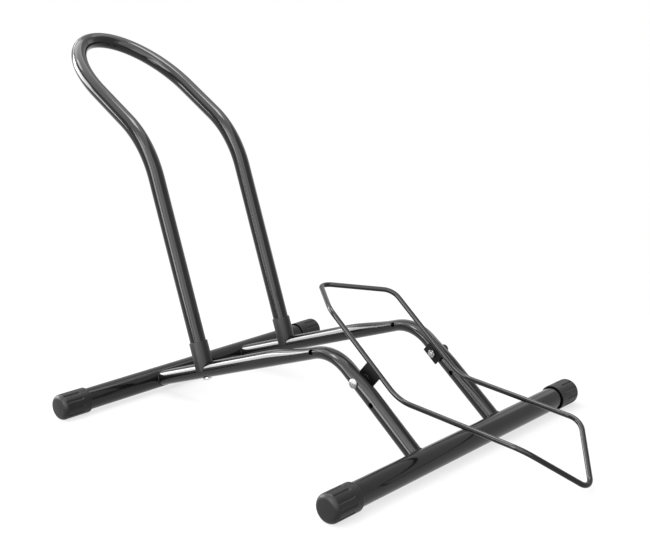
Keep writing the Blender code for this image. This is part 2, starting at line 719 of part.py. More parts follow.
def pivot_bolt(side, body):
    """A carriage bolt: cup head outside, square neck in the wall, end past the nut."""
    name = "pivot_bolt_" + side
    seat = TUBE_OUTER_X + SEAT_GAP
    bolt = headed_bolt(name, CUP_HEAD_DIAMETER / 2, CUP_HEAD_HEIGHT, seat - BOLT_END_X,
                       pivot_place(side, seat))
    neck_x = SIDES[side] * (seat + (HEAD_OVERLAP - CUP_NECK_LENGTH) / 2)
    turned_with_tube = Matrix.Rotation(-PIVOT_SLOPE, 4, "X")
    neck_place = Matrix.Translation(PIVOT_ORIGIN + Vector((neck_x, 0, 0))) @ turned_with_tube
    join(bolt, block(name + "_neck", (CUP_NECK_LENGTH + HEAD_OVERLAP, BOLT_DIAMETER,
                                      BOLT_DIAMETER), neck_place))
    complete(bolt, ZINC_STEEL, body)


def pivot_washer(side, body):
    """The washer that keeps the bracket off the side tube."""
    washer = ring("pivot_washer_" + side, WASHER_DIAMETER / 2, BOLT_HOLE_RADIUS,
                  WASHER_THICKNESS, pivot_place(side, PIVOT_WASHER_X))
    complete(washer, ZINC_STEEL, body)


def pivot_nut(side, body):
    """A thin nut inside the bracket, with its corners turned down."""
    name = "pivot_nut_" + side
    place = pivot_place(side, NUT_X)
    nut = hexagon(name, NUT_ACROSS_FLATS, NUT_HEIGHT, place)
    corner = NUT_ACROSS_FLATS / 2 / math.cos(math.pi / 6)
    half = NUT_HEIGHT / 2
    shoulder = half - (corner - NUT_ACROSS_FLATS / 2) / math.tan(math.pi / 3)
    profile = [(0, half), (NUT_ACROSS_FLATS / 2, half), (corner + NUT_CHAMFER, shoulder),
               (corner + NUT_CHAMFER, -shoulder), (NUT_ACROSS_FLATS / 2, -half), (0, -half)]
    combine(nut, turned(name + "_corners", profile, place, NUT_SEGMENTS), "INTERSECT")
    cut(nut, cylinder(name + "_thread", BOLT_HOLE_RADIUS, 2 * NUT_HEIGHT, place))
    complete(nut, ZINC_STEEL, body)


# Wheel cradle

def wheel_cradle(body):
    """The rod bent to a closed loop that carries the wheel."""
    rod = rod_along("wheel_cradle", cradle_line(), ROD_RADIUS, ROD_BEVEL_RESOLUTION,
                    Matrix.Translation(PIVOT_ORIGIN), closed=True)
    complete(rod, BLACK_PAINT, body)


def pivot_bracket(side, body):
    """A plate welded to the outside of the rod, with the pivot hole in it."""
    name = "pivot_bracket_" + side
    along, out, rod_out = bracket_axes()
    half = BRACKET_LENGTH / 2
    top = rod_out + BRACKET_ABOVE_ROD
    corners = [Vector((-half, -BRACKET_BELOW_PIVOT, 0)), Vector((half, -BRACKET_BELOW_PIVOT, 0)),
               Vector((half, top, 0)), Vector((-half, top, 0))]
    place = Matrix((along, out, along.cross(out))).transposed().to_4x4()
    place.translation = PIVOT_ORIGIN + Vector((SIDES[side] * BRACKET_X, 0, 0))
    bracket = plate(name, rounded_path(corners, [BRACKET_CORNER_RADIUS] * 4),
                    BRACKET_THICKNESS, place)
    bead_x = SIDES[side] * (BRACKET_INNER_X - BRACKET_BEAD_RADIUS / 4)
    bead_out = out * (rod_out - ROD_RADIUS - BRACKET_BEAD_RADIUS / 2)
    bead = axis_place(PIVOT_ORIGIN + bead_out + Vector((bead_x, 0, 0)), along)
    join(bracket, cylinder(name + "_bead", BRACKET_BEAD_RADIUS,
                           BRACKET_LENGTH - 4 * BRACKET_CORNER_RADIUS, bead,
                           BRACKET_BEAD_SEGMENTS))
    cut(bracket, cylinder(name + "_hole", BOLT_HOLE_RADIUS, 4 * BRACKET_THICKNESS,
                          pivot_place(side, BRACKET_X)))
    complete(bracket, BLACK_PAINT, body)


# The whole stand

def body_empty(name, point):
    """An empty that carries the pieces of one body, on its joint's axis."""
    empty = add_object(name, None, Matrix.Translation(point))
    bpy.context.view_layer.update()
    return empty


def floor_bike_stand():
    frame = body_empty("frame", Vector((0, 0, 0)))
    cradle = body_empty("cradle", PIVOT_ORIGIN)
    for row in ("rear", "front"):
        base_tube(row, frame)
        for side in SIDES:
            end_cap(row, side, frame)
    support_hoop(frame)
    wheel_cradle(cradle)
    for side in SIDES:
        side_tube(side, frame)
        hoop_sleeve(side, frame)
        leg_insert(side, frame)
        hoop_bolt(side, frame)
        pivot_bolt(side, frame)
        pivot_washer(side, frame)
        pivot_nut(side, frame)
        pivot_bracket(side, cradle)


clear_scene()
PARTS = new_collection("floor_bike_stand")
CUTTERS = new_collection("floor_bike_stand_cutters")
floor_bike_stand()
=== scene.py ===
# %% [markdown]
# # Floor bike stand
# The real stand is welded from black painted steel tube, and a bicycle wheel rolls into it
# from the front. This lesson dresses the measured model of it: the frame gives every place,
# and each cell below makes one kind of piece and says why it is made that way.
# Lengths are in metres, +Z is up, +X is right and the wheel comes in from -Y.

# %% Load the measured model
import math

import bmesh
import bpy
from mathutils import Matrix, Vector


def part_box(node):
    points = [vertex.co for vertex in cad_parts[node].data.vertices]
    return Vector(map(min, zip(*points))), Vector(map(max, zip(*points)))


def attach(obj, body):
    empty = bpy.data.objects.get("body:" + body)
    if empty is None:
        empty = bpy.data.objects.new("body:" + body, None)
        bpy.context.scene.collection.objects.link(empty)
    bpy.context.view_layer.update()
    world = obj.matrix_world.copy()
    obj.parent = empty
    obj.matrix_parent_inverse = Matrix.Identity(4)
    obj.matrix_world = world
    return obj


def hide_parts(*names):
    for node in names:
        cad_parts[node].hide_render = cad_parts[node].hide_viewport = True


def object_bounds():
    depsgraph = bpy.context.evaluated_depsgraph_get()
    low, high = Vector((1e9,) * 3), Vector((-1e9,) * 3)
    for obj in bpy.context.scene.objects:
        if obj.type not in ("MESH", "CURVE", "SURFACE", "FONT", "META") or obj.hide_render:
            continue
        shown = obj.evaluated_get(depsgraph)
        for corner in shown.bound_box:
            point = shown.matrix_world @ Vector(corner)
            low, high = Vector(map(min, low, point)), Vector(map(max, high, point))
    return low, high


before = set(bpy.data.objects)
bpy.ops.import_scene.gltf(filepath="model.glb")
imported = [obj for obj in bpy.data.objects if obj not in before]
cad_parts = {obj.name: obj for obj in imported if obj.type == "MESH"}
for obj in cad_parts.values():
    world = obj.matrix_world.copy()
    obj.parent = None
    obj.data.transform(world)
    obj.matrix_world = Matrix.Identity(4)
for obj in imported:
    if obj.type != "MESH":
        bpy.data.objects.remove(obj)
MODEL_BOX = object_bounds()
print("model box:", [tuple(round(value, 4) for value in corner) for corner in MODEL_BOX])

# %% [markdown]
# ## Where things are
# A side view is enough to place everything on a stand like this one. 'Forward' runs from the
# axis of the rear base tube to the wheel entry and 'up' from that axis to the sky. The rear
# tube's own box tells where that axis is, so no offset has to be typed in.

# %% The side view
SIDES = {"left": -1, "right": 1}
HALF_SPACING = 0.088

rear_low, rear_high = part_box("rear_base_tube")
REAR_AXIS = (Vector(rear_low) + Vector(rear_high)) / 2
REAR_AXIS.x = 0.0


def side_view(forward, up, x=0.0):
    """A direction, or a point measured from the rear axis."""
    return Vector((x, -forward, up))


def place_on(point, direction):
    """A matrix whose Z runs along direction, with X kept level."""
    z_axis = Vector(direction).normalized()
    guide = Vector((0, 1, 0)) if abs(z_axis.x) > 0.5 else Vector((1, 0, 0))
    x_axis = (guide - z_axis * guide.dot(z_axis)).normalized()
    place = Matrix((x_axis, z_axis.cross(x_axis), z_axis)).transposed().to_4x4()
    place.translation = point
    return place


print("rear axis at", tuple(round(value, 4) for value in REAR_AXIS))

# %% [markdown]
# ## Paths with rounded corners
# Bent tube and wire are straight runs joined by arcs. Giving the corners and a radius for each
# is how a tube bender is set up, and it keeps the numbers few. Small steps round each arc keep
# a glossy highlight from breaking into facets.

# %% Rounded paths
ARC_STEP = math.radians(2.5)


def rounded_path(corners, radii):
    """Points along straight runs, with an arc of the given radius at each corner."""
    points = []
    count = len(corners)
    for index, (corner, radius) in enumerate(zip(corners, radii)):
        if radius == 0:
            points.append(corner)
            continue
        before = (corners[(index - 1) % count] - corner).normalized()
        after = (corners[(index + 1) % count] - corner).normalized()
        half_angle = before.angle(after) / 2
        centre = corner + (before + after).normalized() * radius / math.sin(half_angle)
        start = corner + before * radius / math.tan(half_angle) - centre
        turn = math.pi - 2 * half_angle
        axis = before.cross(start)
        steps = max(2, math.ceil(turn / ARC_STEP))
        for step in range(steps + 1):
            points.append(centre + Matrix.Rotation(turn * step / steps, 3, axis) @ start)
    return points


# %% [markdown]
# ## Finishing a piece
# Whatever makes a shape, the result ends as a plain mesh that sits at the origin with its
# place in its vertices. One helper does that: it reads the evaluated object, welds what
# touches, shades the round faces smooth and then hangs the piece on the body that carries it.

# %% Helpers that finish a piece
SHARP_DEGREES = 38
TOUCHING = 0.000002
scene = bpy.context.scene


def link(name, data, place=None):
    """Show a mesh, a curve, a lamp or a camera in the scene."""
    obj = bpy.data.objects.new(name, data)
    scene.collection.objects.link(obj)
    if place is not None:
        obj.matrix_world = place
    return obj


def baked(obj):
    """The evaluated object as a plain mesh at the origin, with its old object removed."""
    bpy.context.view_layer.update()
    depsgraph = bpy.context.evaluated_depsgraph_get()
    mesh = bpy.data.meshes.new_from_object(obj.evaluated_get(depsgraph), depsgraph=depsgraph)
    mesh.transform(obj.matrix_world)
    body = bmesh.new()
    body.from_mesh(mesh)
    bmesh.ops.remove_doubles(body, verts=body.verts, dist=TOUCHING)
    bmesh.ops.recalc_face_normals(body, faces=body.faces)
    body.to_mesh(mesh)
    body.free()
    name = obj.name
    bpy.data.objects.remove(obj, do_unlink=True)
    mesh.name = name
    return link(name, mesh)


def finish(obj, material, body, *nodes, slot="paint", sharp=SHARP_DEGREES):
    """Shade a plain mesh, give it its material and its body, and hide what it stands for."""
    obj.data.materials.clear()
    obj.data.materials.append(material)
    obj.data.shade_smooth()
    obj.data.set_sharp_from_angle(angle=math.radians(sharp))
    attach(obj, body)
    if nodes:
        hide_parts(*nodes)


def cut(obj, *cutters, operation="DIFFERENCE"):
    """Cut plain meshes out of a plain mesh, one after the other."""
    for cutter in cutters:
        modifier = obj.modifiers.new("cut", "BOOLEAN")
        modifier.operation = operation
        modifier.solver = "EXACT"
        modifier.object = cutter
        obj = baked(obj)
        bpy.data.objects.remove(cutter, do_unlink=True)
    return obj


def from_bmesh(name, body, place=None):
    mesh = bpy.data.meshes.new(name)
    bmesh.ops.recalc_face_normals(body, faces=body.faces)
    body.to_mesh(mesh)
    body.free()
    return link(name, mesh, place)


def rod(name, radius, length, place, segments=48):
    """A plain cylinder along the place's Z, centred on it."""
    body = bmesh.new()
    bmesh.ops.create_cone(body, cap_ends=True, segments=segments,
                          radius1=radius, radius2=radius, depth=length)
    return baked(from_bmesh(name, body, place))


def box_body(size):
    body = bmesh.new()
    bmesh.ops.create_cube(body, size=1, matrix=Matrix.Diagonal((*size, 1)))
    return body


def box(name, size, place):
    return baked(from_bmesh(name, box_body(size), place))


def join_rings(body, near, far):
    """Faces between two rings of vertices. A ring of one vertex is a pole."""
    count = max(len(near), len(far))
    for step in range(count):
        after = (step + 1) % count
        corners = [near[step % len(near)], near[after % len(near)],
                   far[after % len(far)], far[step % len(far)]]
        body.faces.new(list(dict.fromkeys(corners)))


def turned(name, profile, place, segments=64):
    """A profile of (radius, height) points swept round the place's Z."""
    body = bmesh.new()
    angles = [2 * math.pi * step / segments for step in range(segments)]
    rings = [[body.verts.new((radius * math.cos(angle), radius * math.sin(angle), height))
              for angle in (angles if radius > 0 else angles[:1])] for radius, height in profile]
    for near, far in zip(rings, rings[1:]):
        join_rings(body, near, far)
    return from_bmesh(name, body, place)


# %% [markdown]
# ## The finishes
# Black gloss paint looks like almost nothing by itself: what the eye reads is the reflection
# of the lights, a faint orange peel that breaks it, and a little dust. The colour therefore
# stays nearly black and the interest goes into roughness and bump, both from noise in the
# piece's own coordinates, so that the pattern stays on the piece when it moves.

# %% A small kit for node trees and materials
NOISE_LOW, NOISE_HIGH = 0.3, 0.7


def feed(tree, node, values):
    """Give a node's inputs plain values, or link them to the outputs of other nodes."""
    for name, value in values.items():
        if isinstance(value, bpy.types.NodeSocket):
            tree.links.new(value, node.inputs[name])
        else:
            node.inputs[name].default_value = value
    return node


def add(tree, kind, values=None):
    """A new node with its inputs fed."""
    return feed(tree, tree.nodes.new(kind), values or {})


def grey(value):
    return (value, value, value)


def new_material(name):
    material = bpy.data.materials.new(name)
    material.use_nodes = True
    return material, material.node_tree, material.node_tree.nodes["Principled BSDF"]


def coordinates(tree):
    return add(tree, "ShaderNodeTexCoord").outputs["Object"]


def noise(tree, where, scale, detail, roughness=0.5):
    return add(tree, "ShaderNodeTexNoise", {
        "Vector": where, "Scale": scale, "Detail": detail,
        "Roughness": roughness}).outputs["Fac"]


def spread(tree, value, to_low, to_high):
    """Map the middle of a noise, where nearly all of it lies, to a range of roughness."""
    return add(tree, "ShaderNodeMapRange", {
        "Value": value, "From Min": NOISE_LOW, "From Max": NOISE_HIGH, "To Min": to_low,
        "To Max": to_high}).outputs["Result"]


def ramp(tree, value, *stops):
    """A colour ramp from (position, colour) stops."""
    node = tree.nodes.new("ShaderNodeValToRGB")
    elements = node.color_ramp.elements
    elements[0].position, elements[-1].position = stops[0][0], stops[-1][0]
    elements[0].color = (*stops[0][1], 1)
    elements[-1].color = (*stops[-1][1], 1)
    for position, colour in stops[1:-1]:
        elements.new(position).color = (*colour, 1)
    return feed(tree, node, {"Fac": value}).outputs["Color"]


def bump(tree, shader, height, distance, strength, before=None):
    """Press a height into the shader's normal, on top of an earlier bump if there is one."""
    node = add(tree, "ShaderNodeBump",
               {"Distance": distance, "Strength": strength, "Height": height})
    if before is not None:
        feed(tree, node, {"Normal": before})
    feed(tree, shader, {"Normal": node.outputs["Normal"]})
    return node.outputs["Normal"]


# %% Gloss paint, moulded plastic and zinc
def gloss_paint(name, dark, light, smooth, rough, specular):
    """Sprayed enamel: near black, with orange peel and a little settled dust."""
    material, tree, shader = new_material(name)
    where = coordinates(tree)
    cloud = noise(tree, where, 34.0, 3.0)
    haze = noise(tree, where, 90.0, 4.0, 0.6)
    feed(tree, shader, {
        "Base Color": ramp(tree, cloud, (NOISE_LOW, dark), (NOISE_HIGH, light)),
        "Roughness": spread(tree, haze, smooth, rough), "Specular IOR Level": specular})
    peel = bump(tree, shader, noise(tree, where, 260.0, 1.0), 0.00002, 0.35)
    bump(tree, shader, noise(tree, where, 1800.0, 1.0), 0.000004, 0.3, before=peel)
    return material


def moulded_plastic(name, dark, light):
    """Matt grey-black plastic with the fine grain of its mould."""
    material, tree, shader = new_material(name)
    where = coordinates(tree)
    cloud = noise(tree, where, 60.0, 4.0, 0.6)
    grain = noise(tree, where, 3200.0, 2.0, 0.6)
    feed(tree, shader, {
        "Base Color": ramp(tree, cloud, (NOISE_LOW, dark), (NOISE_HIGH, light)),
        "Roughness": spread(tree, grain, 0.36, 0.46), "Specular IOR Level": 0.24})
    broad = bump(tree, shader, noise(tree, where, 260.0, 3.0), 0.00008, 0.35)
    bump(tree, shader, grain, 0.00002, 0.6, before=broad)
    return material


def zinc_plate(name, dark, middle, light, dull, glossy):
    """Zinc on steel: mottled in colour and gloss, with a finely uneven surface."""
    material, tree, shader = new_material(name)
    where = coordinates(tree)
    mottle = noise(tree, where, 620.0, 4.0, 0.65)
    feed(tree, shader, {
        "Base Color": ramp(tree, mottle, (0.36, dark), (0.52, middle), (0.66, light)),
        "Metallic": 1.0, "Roughness": spread(tree, mottle, dull, glossy)})
    bump(tree, shader, noise(tree, where, 1100.0, 3.0), 0.00006, 0.5)
    return material


PAINT = gloss_paint("black_gloss_paint", grey(0.002), grey(0.0035), 0.08, 0.13, 0.31)
WELD_PAINT = gloss_paint("paint_over_weld", grey(0.003), grey(0.005), 0.3, 0.42, 0.22)
PLATE_PAINT = gloss_paint("black_paint_on_plate", grey(0.002), grey(0.004), 0.42, 0.55, 0.1)
PLASTIC = moulded_plastic("moulded_cap_plastic", grey(0.003), grey(0.006))
# Two copies of one zinc plate. The pivot bolts' and nuts' copy is painted darker, as painted
# shade that keeps its reflections from going white. The hoop bolts' copy is painted lighter, as
# a painted highlight that makes them read white.
ZINC_PAINTED_DARKER = zinc_plate("zinc_painted_darker", (0.11, 0.11, 0.115), (0.23, 0.23, 0.235), grey(0.44),
                  0.52, 0.34)
ZINC_PAINTED_LIGHTER = zinc_plate("zinc_painted_lighter", (0.42, 0.42, 0.43), (0.6, 0.6, 0.61), grey(0.78),
                         0.4, 0.24)
# The spacer washers' metal is painted near black, as painted shade for the dark gap between the
# side tube and the plate.
WASHER_PAINTED_SHADE = zinc_plate("washer_metal_painted_shade", grey(0.02), grey(0.035), grey(0.05), 0.46, 0.28)
FINISHES = (PAINT, WELD_PAINT, PLATE_PAINT, PLASTIC, ZINC_PAINTED_DARKER, ZINC_PAINTED_LIGHTER, WASHER_PAINTED_SHADE)
print("finishes:", [material.name for material in FINISHES])

# %% [markdown]
# ## Tube that follows a path
# The hoop, the wire cradle and the base tubes are all one thing: a circle carried along a
# line. A Geometry Nodes tree makes that once, with the radius and the fineness as named
# inputs, and every bent bar of the stand uses it. Real tube has a wall, so a tube gets its
# thickness afterwards, while the wire of the cradle stays solid.

# %% The tube tree
def new_tree(name, result, inputs):
    """A tree with named inputs, and the sockets that they arrive by."""
    tree = bpy.data.node_groups.new(name, "GeometryNodeTree")
    for label, kind in inputs.items():
        tree.interface.new_socket(label, in_out="INPUT", socket_type="NodeSocket" + kind)
    tree.interface.new_socket(result, in_out="OUTPUT", socket_type="NodeSocketGeometry")
    return tree, add(tree, "NodeGroupInput").outputs


def end_tree(tree, geometry, given):
    """Turn instances into a real mesh, give it its material and end the tree."""
    realize = add(tree, "GeometryNodeRealizeInstances", {"Geometry": geometry})
    paint = add(tree, "GeometryNodeSetMaterial", {
        "Geometry": realize.outputs["Geometry"], "Material": given["Material"]})
    add(tree, "NodeGroupOutput", {0: paint.outputs["Geometry"]})
    return tree


def run_tree(obj, tree, **values):
    """Add a tree to an object and set its inputs by their identifiers."""
    modifier = obj.modifiers.new(tree.name, "NODES")
    modifier.node_group = tree
    for item in tree.interface.items_tree:
        if item.item_type == "SOCKET" and item.in_out == "INPUT" and item.name in values:
            modifier[item.identifier] = values[item.name]
    return baked(obj)


def bar(tree, given, facets):
    """A circle carried along the path."""
    circle = add(tree, "GeometryNodeCurvePrimitiveCircle", {
        "Radius": given["Radius"], "Resolution": facets})
    return add(tree, "GeometryNodeCurveToMesh", {
        "Curve": given["Path"], "Profile Curve": circle.outputs["Curve"]}).outputs["Mesh"]


def tube_tree():
    tree, given = new_tree("tube_along_path", "Tube", {
        "Path": "Geometry", "Radius": "Float", "Facets": "Int", "Material": "Material"})
    return end_tree(tree, bar(tree, given, given["Facets"]), given)


def path_curve(name, points, closed=False):
    curve = bpy.data.curves.new(name, "CURVE")
    curve.dimensions = "3D"
    spline = curve.splines.new("POLY")
    spline.points.add(len(points) - 1)
    for target, point in zip(spline.points, points):
        target.co = (*point, 1)
    spline.use_cyclic_u = closed
    return link(name, curve)


TUBE_TREE = tube_tree()


def swept(name, points, radius, material, facets, closed=False, wall=None):
    """A tube with a wall, or a closed loop of solid wire, along points of the model."""
    obj = path_curve(name, [REAR_AXIS + point for point in points], closed)
    obj = run_tree(obj, TUBE_TREE, Radius=radius, Facets=facets, Material=material)
    if wall is not None:
        solid = obj.modifiers.new("wall", "SOLIDIFY")
        solid.thickness = wall
        solid.offset = -1.0
        obj = baked(obj)
    return obj


print("tree inputs:", [item.name for item in TUBE_TREE.interface.items_tree])

# %% [markdown]
# ## Base tubes
# Two straight lengths of 32 mm tube lie on the floor and carry everything. They are the
# simplest use of the tube tree: a path of two points.

# %% Base tubes
BASE_SPACING = 0.510
BASE_RADIUS = 0.016
BASE_WALL = 0.0015
BASE_FORWARD = {"rear": 0.0, "front": BASE_SPACING}

for row, forward in BASE_FORWARD.items():
    low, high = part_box(row + "_base_tube")
    ends = [side_view(forward, 0, low[0]), side_view(forward, 0, high[0])]
    tube = swept(row + "_floor_tube", ends, BASE_RADIUS, PAINT, facets=96, wall=BASE_WALL)
    finish(tube, PAINT, "frame", row + "_base_tube")
    print(tube.name, "length", round(high[0] - low[0], 4))

# %% [markdown]
# ## End caps
# Each base tube ends in a moulded plastic cap with eleven grooves for grip, and the caps are
# the feet. The blank is turned, because a cap is round. The grooves repeat round it by one
# rule, so a second tree presses them in: it works out each point's angle, how far that is
# from the nearest groove and how deep the groove is there, and moves the point inwards.
# A groove pressed that way has soft lips and a soft end, as a moulding has.

# %% The groove tree
GROOVE_FULL_SHARE = 0.9
# The middle of the closed end lies on the axis, and this keeps it from a division by zero.
LEAST_DIVISOR = 0.001


def math_node(tree, operation, *values):
    node = tree.nodes.new("ShaderNodeMath")
    node.operation = operation
    return feed(tree, node, dict(enumerate(values))).outputs[0]


def eased(tree, value, low, high):
    """0 below low and 1 above high, eased between them."""
    node = tree.nodes.new("ShaderNodeMapRange")
    node.interpolation_type = "SMOOTHSTEP"
    feed(tree, node, {"Value": value, "From Min": low, "From Max": high})
    return node.outputs["Result"]


def groove_tree():
    tree, given = new_tree("grooves_round_a_cap", "Cap", {
        "Blank": "Geometry", "Grooves": "Int", "First": "Float", "Depth": "Float",
        "Half Width": "Float", "Start": "Float", "End": "Float", "Least Radius": "Float",
        "Material": "Material"})

    def calc(operation, *values):
        return math_node(tree, operation, *values)

    def length(first, second):
        return calc("SQRT", calc("ADD", calc("MULTIPLY", first, first),
                                 calc("MULTIPLY", second, second)))

    position = add(tree, "GeometryNodeInputPosition").outputs["Position"]
    split = add(tree, "ShaderNodeSeparateXYZ", {"Vector": position})
    across, aside, along = (split.outputs[axis] for axis in "XYZ")
    radius = length(across, aside)
    pitch = calc("DIVIDE", 2 * math.pi, given["Grooves"])
    turns = calc("DIVIDE", calc("SUBTRACT", calc("ARCTAN2", aside, across), given["First"]),
                 pitch)
    nearest = calc("SUBTRACT", turns, calc("ROUND", turns))
    offset = calc("MULTIPLY", calc("ABSOLUTE", nearest), calc("MULTIPLY", pitch, radius))
    # Past either end of the groove the distance is measured to its last point, so that
    # the groove ends in a round.
    before = calc("MAXIMUM", calc("SUBTRACT", given["Start"], along), 0.0)
    after = calc("MAXIMUM", calc("SUBTRACT", along, given["End"]), 0.0)
    away = length(offset, calc("ADD", before, after))
    share = calc("SUBTRACT", 1.0, calc("DIVIDE", away, given["Half Width"]))
    # Only the outer skin is pressed, so the bore stays round.
    outside = calc("GREATER_THAN", radius, given["Least Radius"])
    pressed = calc("MULTIPLY", eased(tree, share, 0.0, GROOVE_FULL_SHARE), given["Depth"])
    sink = calc("MULTIPLY", pressed, outside)
    back = calc("MULTIPLY", calc("DIVIDE", sink, calc("MAXIMUM", radius, LEAST_DIVISOR)), -1.0)
    move = add(tree, "ShaderNodeCombineXYZ", {
        "X": calc("MULTIPLY", across, back), "Y": calc("MULTIPLY", aside, back)})
    press = add(tree, "GeometryNodeSetPosition", {
        "Geometry": given["Blank"], "Offset": move.outputs["Vector"]})
    return end_tree(tree, press.outputs["Geometry"], given)


GROOVE_TREE = groove_tree()
print("groove tree nodes:", len(GROOVE_TREE.nodes))

# %% End caps
BASE_HALF_WIDTH = 0.273
CAP_LENGTH = 0.0475
CAP_RADIUS = 0.0187
CAP_BORE = 0.0163
CAP_END_WALL = 0.0035
CAP_ROUND_DEPTH = 0.0075
CAP_ROUND_HEIGHT = 0.0070
CAP_CROWN = 0.0006
CAP_MOUTH_RELIEF = 0.0015
CAP_MOUTH_DEPTH = 0.0035
CAP_LIP = 0.0006
CAP_COLLAR = 0.0125
GROOVES = 11
FIRST_GROOVE = math.radians(66.5)
GROOVE_DEPTH = 0.0013
GROOVE_HALF_WIDTH = 0.0023
GROOVE_LENGTH = 0.030
CAP_FACETS = GROOVES * 26
CAP_SIDE_STEPS = 56
CAP_ROUND_STEPS = 14
CAP_FACE_SHARES = (0.3, 0.6, 0.85)
CAP_SKIN = 0.995
# Where the middle point of a rounded edge lies in from its corner, as a share of the edge.
EDGE_SHARE = 0.3


def cap_profile():
    """Radius and height from the middle of the closed end, over the side, to the bore."""
    profile = [(0, CAP_LENGTH)]
    flat = CAP_RADIUS - CAP_ROUND_HEIGHT
    for share in CAP_FACE_SHARES:
        profile.append((flat * share, CAP_LENGTH - CAP_CROWN * share * share))
    for step in range(CAP_ROUND_STEPS + 1):
        angle = math.pi / 2 * step / CAP_ROUND_STEPS
        drop = CAP_CROWN + (CAP_ROUND_DEPTH - CAP_CROWN) * (1 - math.cos(angle))
        profile.append((flat + CAP_ROUND_HEIGHT * math.sin(angle), CAP_LENGTH - drop))
    top, bottom = CAP_LENGTH - CAP_ROUND_DEPTH, CAP_LIP
    for step in range(1, CAP_SIDE_STEPS + 1):
        profile.append((CAP_RADIUS, top + (bottom - top) * step / CAP_SIDE_STEPS))
    mouth = CAP_BORE + CAP_MOUTH_RELIEF
    floor = CAP_LENGTH - CAP_END_WALL
    lip = CAP_LIP * EDGE_SHARE
    return profile + [(CAP_RADIUS - lip, lip), (CAP_RADIUS - CAP_LIP, 0), (mouth, 0),
                      (mouth, CAP_MOUTH_DEPTH - CAP_MOUTH_RELIEF),
                      (CAP_BORE, CAP_MOUTH_DEPTH), (CAP_BORE, floor), (0, floor)]


def end_cap(row, side):
    sign = SIDES[side]
    mouth = REAR_AXIS + side_view(BASE_FORWARD[row], 0, sign * (BASE_HALF_WIDTH - CAP_LENGTH))
    place = place_on(mouth, (sign, 0, 0))
    # The groove's angle is counted from forward and up, and the place's X is backward.
    first = math.pi - FIRST_GROOVE
    if sign < 0:
        first = -first
    blank = turned(f"cap_{row}_{side}", cap_profile(), place, CAP_FACETS)
    cap = run_tree(blank, GROOVE_TREE, Grooves=GROOVES, First=first, Depth=GROOVE_DEPTH,
                   **{"Half Width": GROOVE_HALF_WIDTH, "Start": CAP_COLLAR + GROOVE_HALF_WIDTH,
                      "End": CAP_COLLAR + GROOVE_LENGTH - GROOVE_HALF_WIDTH,
                      "Least Radius": CAP_RADIUS * CAP_SKIN, "Material": PLASTIC})
    finish(cap, PLASTIC, "frame", f"end_cap_{row}_{side}", slot="plastic", sharp=60)
    return cap


for row in BASE_FORWARD:
    for side in SIDES:
        cap = end_cap(row, side)
        print(cap.name, len(cap.data.polygons), "faces")

# %% [markdown]
# ## Bent side tubes
# The bend is the trick of this stand: the tube was bent cold, and its outside is pressed flat
# there, so the section changes from a circle to a low D and back. No sweep of one profile can
# do that, so the tube is a loft: a ring of points at each station along the axis, with the
# outer half of the ring sinking where the tube is pressed. The ends slide along the axis until
# they meet the base tube, which gives the saddle-shaped cope of a welded joint.

# %% The line of a side tube
SIDE_RADIUS = 0.01125
SIDE_WALL = 0.0015
SIDE_RISE = math.radians(18.8)
SIDE_FALL = math.radians(40.0)
SIDE_REAR_DROP = 0.0025
SIDE_FRONT_DROP = 0.0045
SIDE_BEND_RADIUS = 0.065
FLAT_DEPTH = 0.0060
FLAT_SPREAD = 0.0012
FLAT_BEFORE = 0.125
FLAT_AFTER = 0.085
FLAT_FADE_IN = 0.095
FLAT_FADE_OUT = 0.070

rise, fall = math.tan(SIDE_RISE), math.tan(SIDE_FALL)
CORNER_FORWARD = (BASE_SPACING * fall - SIDE_FRONT_DROP + SIDE_REAR_DROP) / (rise + fall)
BEND_TURN = SIDE_RISE + SIDE_FALL
BEND_TANGENT = SIDE_BEND_RADIUS * math.tan(BEND_TURN / 2)
BEND_LENGTH = SIDE_BEND_RADIUS * BEND_TURN
REAR_RUN = CORNER_FORWARD / math.cos(SIDE_RISE) - BEND_TANGENT
FRONT_RUN = (BASE_SPACING - CORNER_FORWARD) / math.cos(SIDE_FALL) - BEND_TANGENT
SIDE_LENGTH = REAR_RUN + BEND_LENGTH + FRONT_RUN
BEND_MIDDLE = REAR_RUN + BEND_LENGTH / 2


def side_line(station):
    """Point (forward, up) and slope of the tube's axis at a length along it."""
    if station >= REAR_RUN + BEND_LENGTH:
        left = SIDE_LENGTH - station
        return (BASE_SPACING - left * math.cos(SIDE_FALL),
                left * math.sin(SIDE_FALL) - SIDE_FRONT_DROP, -SIDE_FALL)
    straight = min(station, REAR_RUN)
    forward = straight * math.cos(SIDE_RISE)
    up = straight * math.sin(SIDE_RISE) - SIDE_REAR_DROP
    slope = SIDE_RISE - (station - straight) / SIDE_BEND_RADIUS
    forward += SIDE_BEND_RADIUS * (math.sin(SIDE_RISE) - math.sin(slope))
    up += SIDE_BEND_RADIUS * (math.cos(slope) - math.cos(SIDE_RISE))
    return forward, up, slope


def eased_share(share):
    share = min(max(share, 0.0), 1.0)
    return share * share * (3 - 2 * share)


def flatness(station):
    """1 where the tube is pressed flat, fading to 0 where it is round."""
    rising = eased_share((station - BEND_MIDDLE + FLAT_BEFORE) / FLAT_FADE_IN)
    falling = eased_share((BEND_MIDDLE + FLAT_AFTER - station) / FLAT_FADE_OUT)
    return rising * falling


print("side tube length", round(SIDE_LENGTH, 4), "bend middle at", round(BEND_MIDDLE, 4))

# %% The loft
SIDE_FACETS = 72
SIDE_STATIONS = 150
SEAT_GAP = 0.0003


def ring_offset(station, angle, inset):
    """Across and out from the axis, for one point of the ring at a station."""
    flat = flatness(station)
    across = (SIDE_RADIUS + FLAT_SPREAD * flat - inset) * math.cos(angle)
    above = SIDE_RADIUS - FLAT_DEPTH * flat - inset
    below = SIDE_RADIUS - inset
    height = (above if math.sin(angle) > 0 else below) * math.sin(angle)
    return across, height


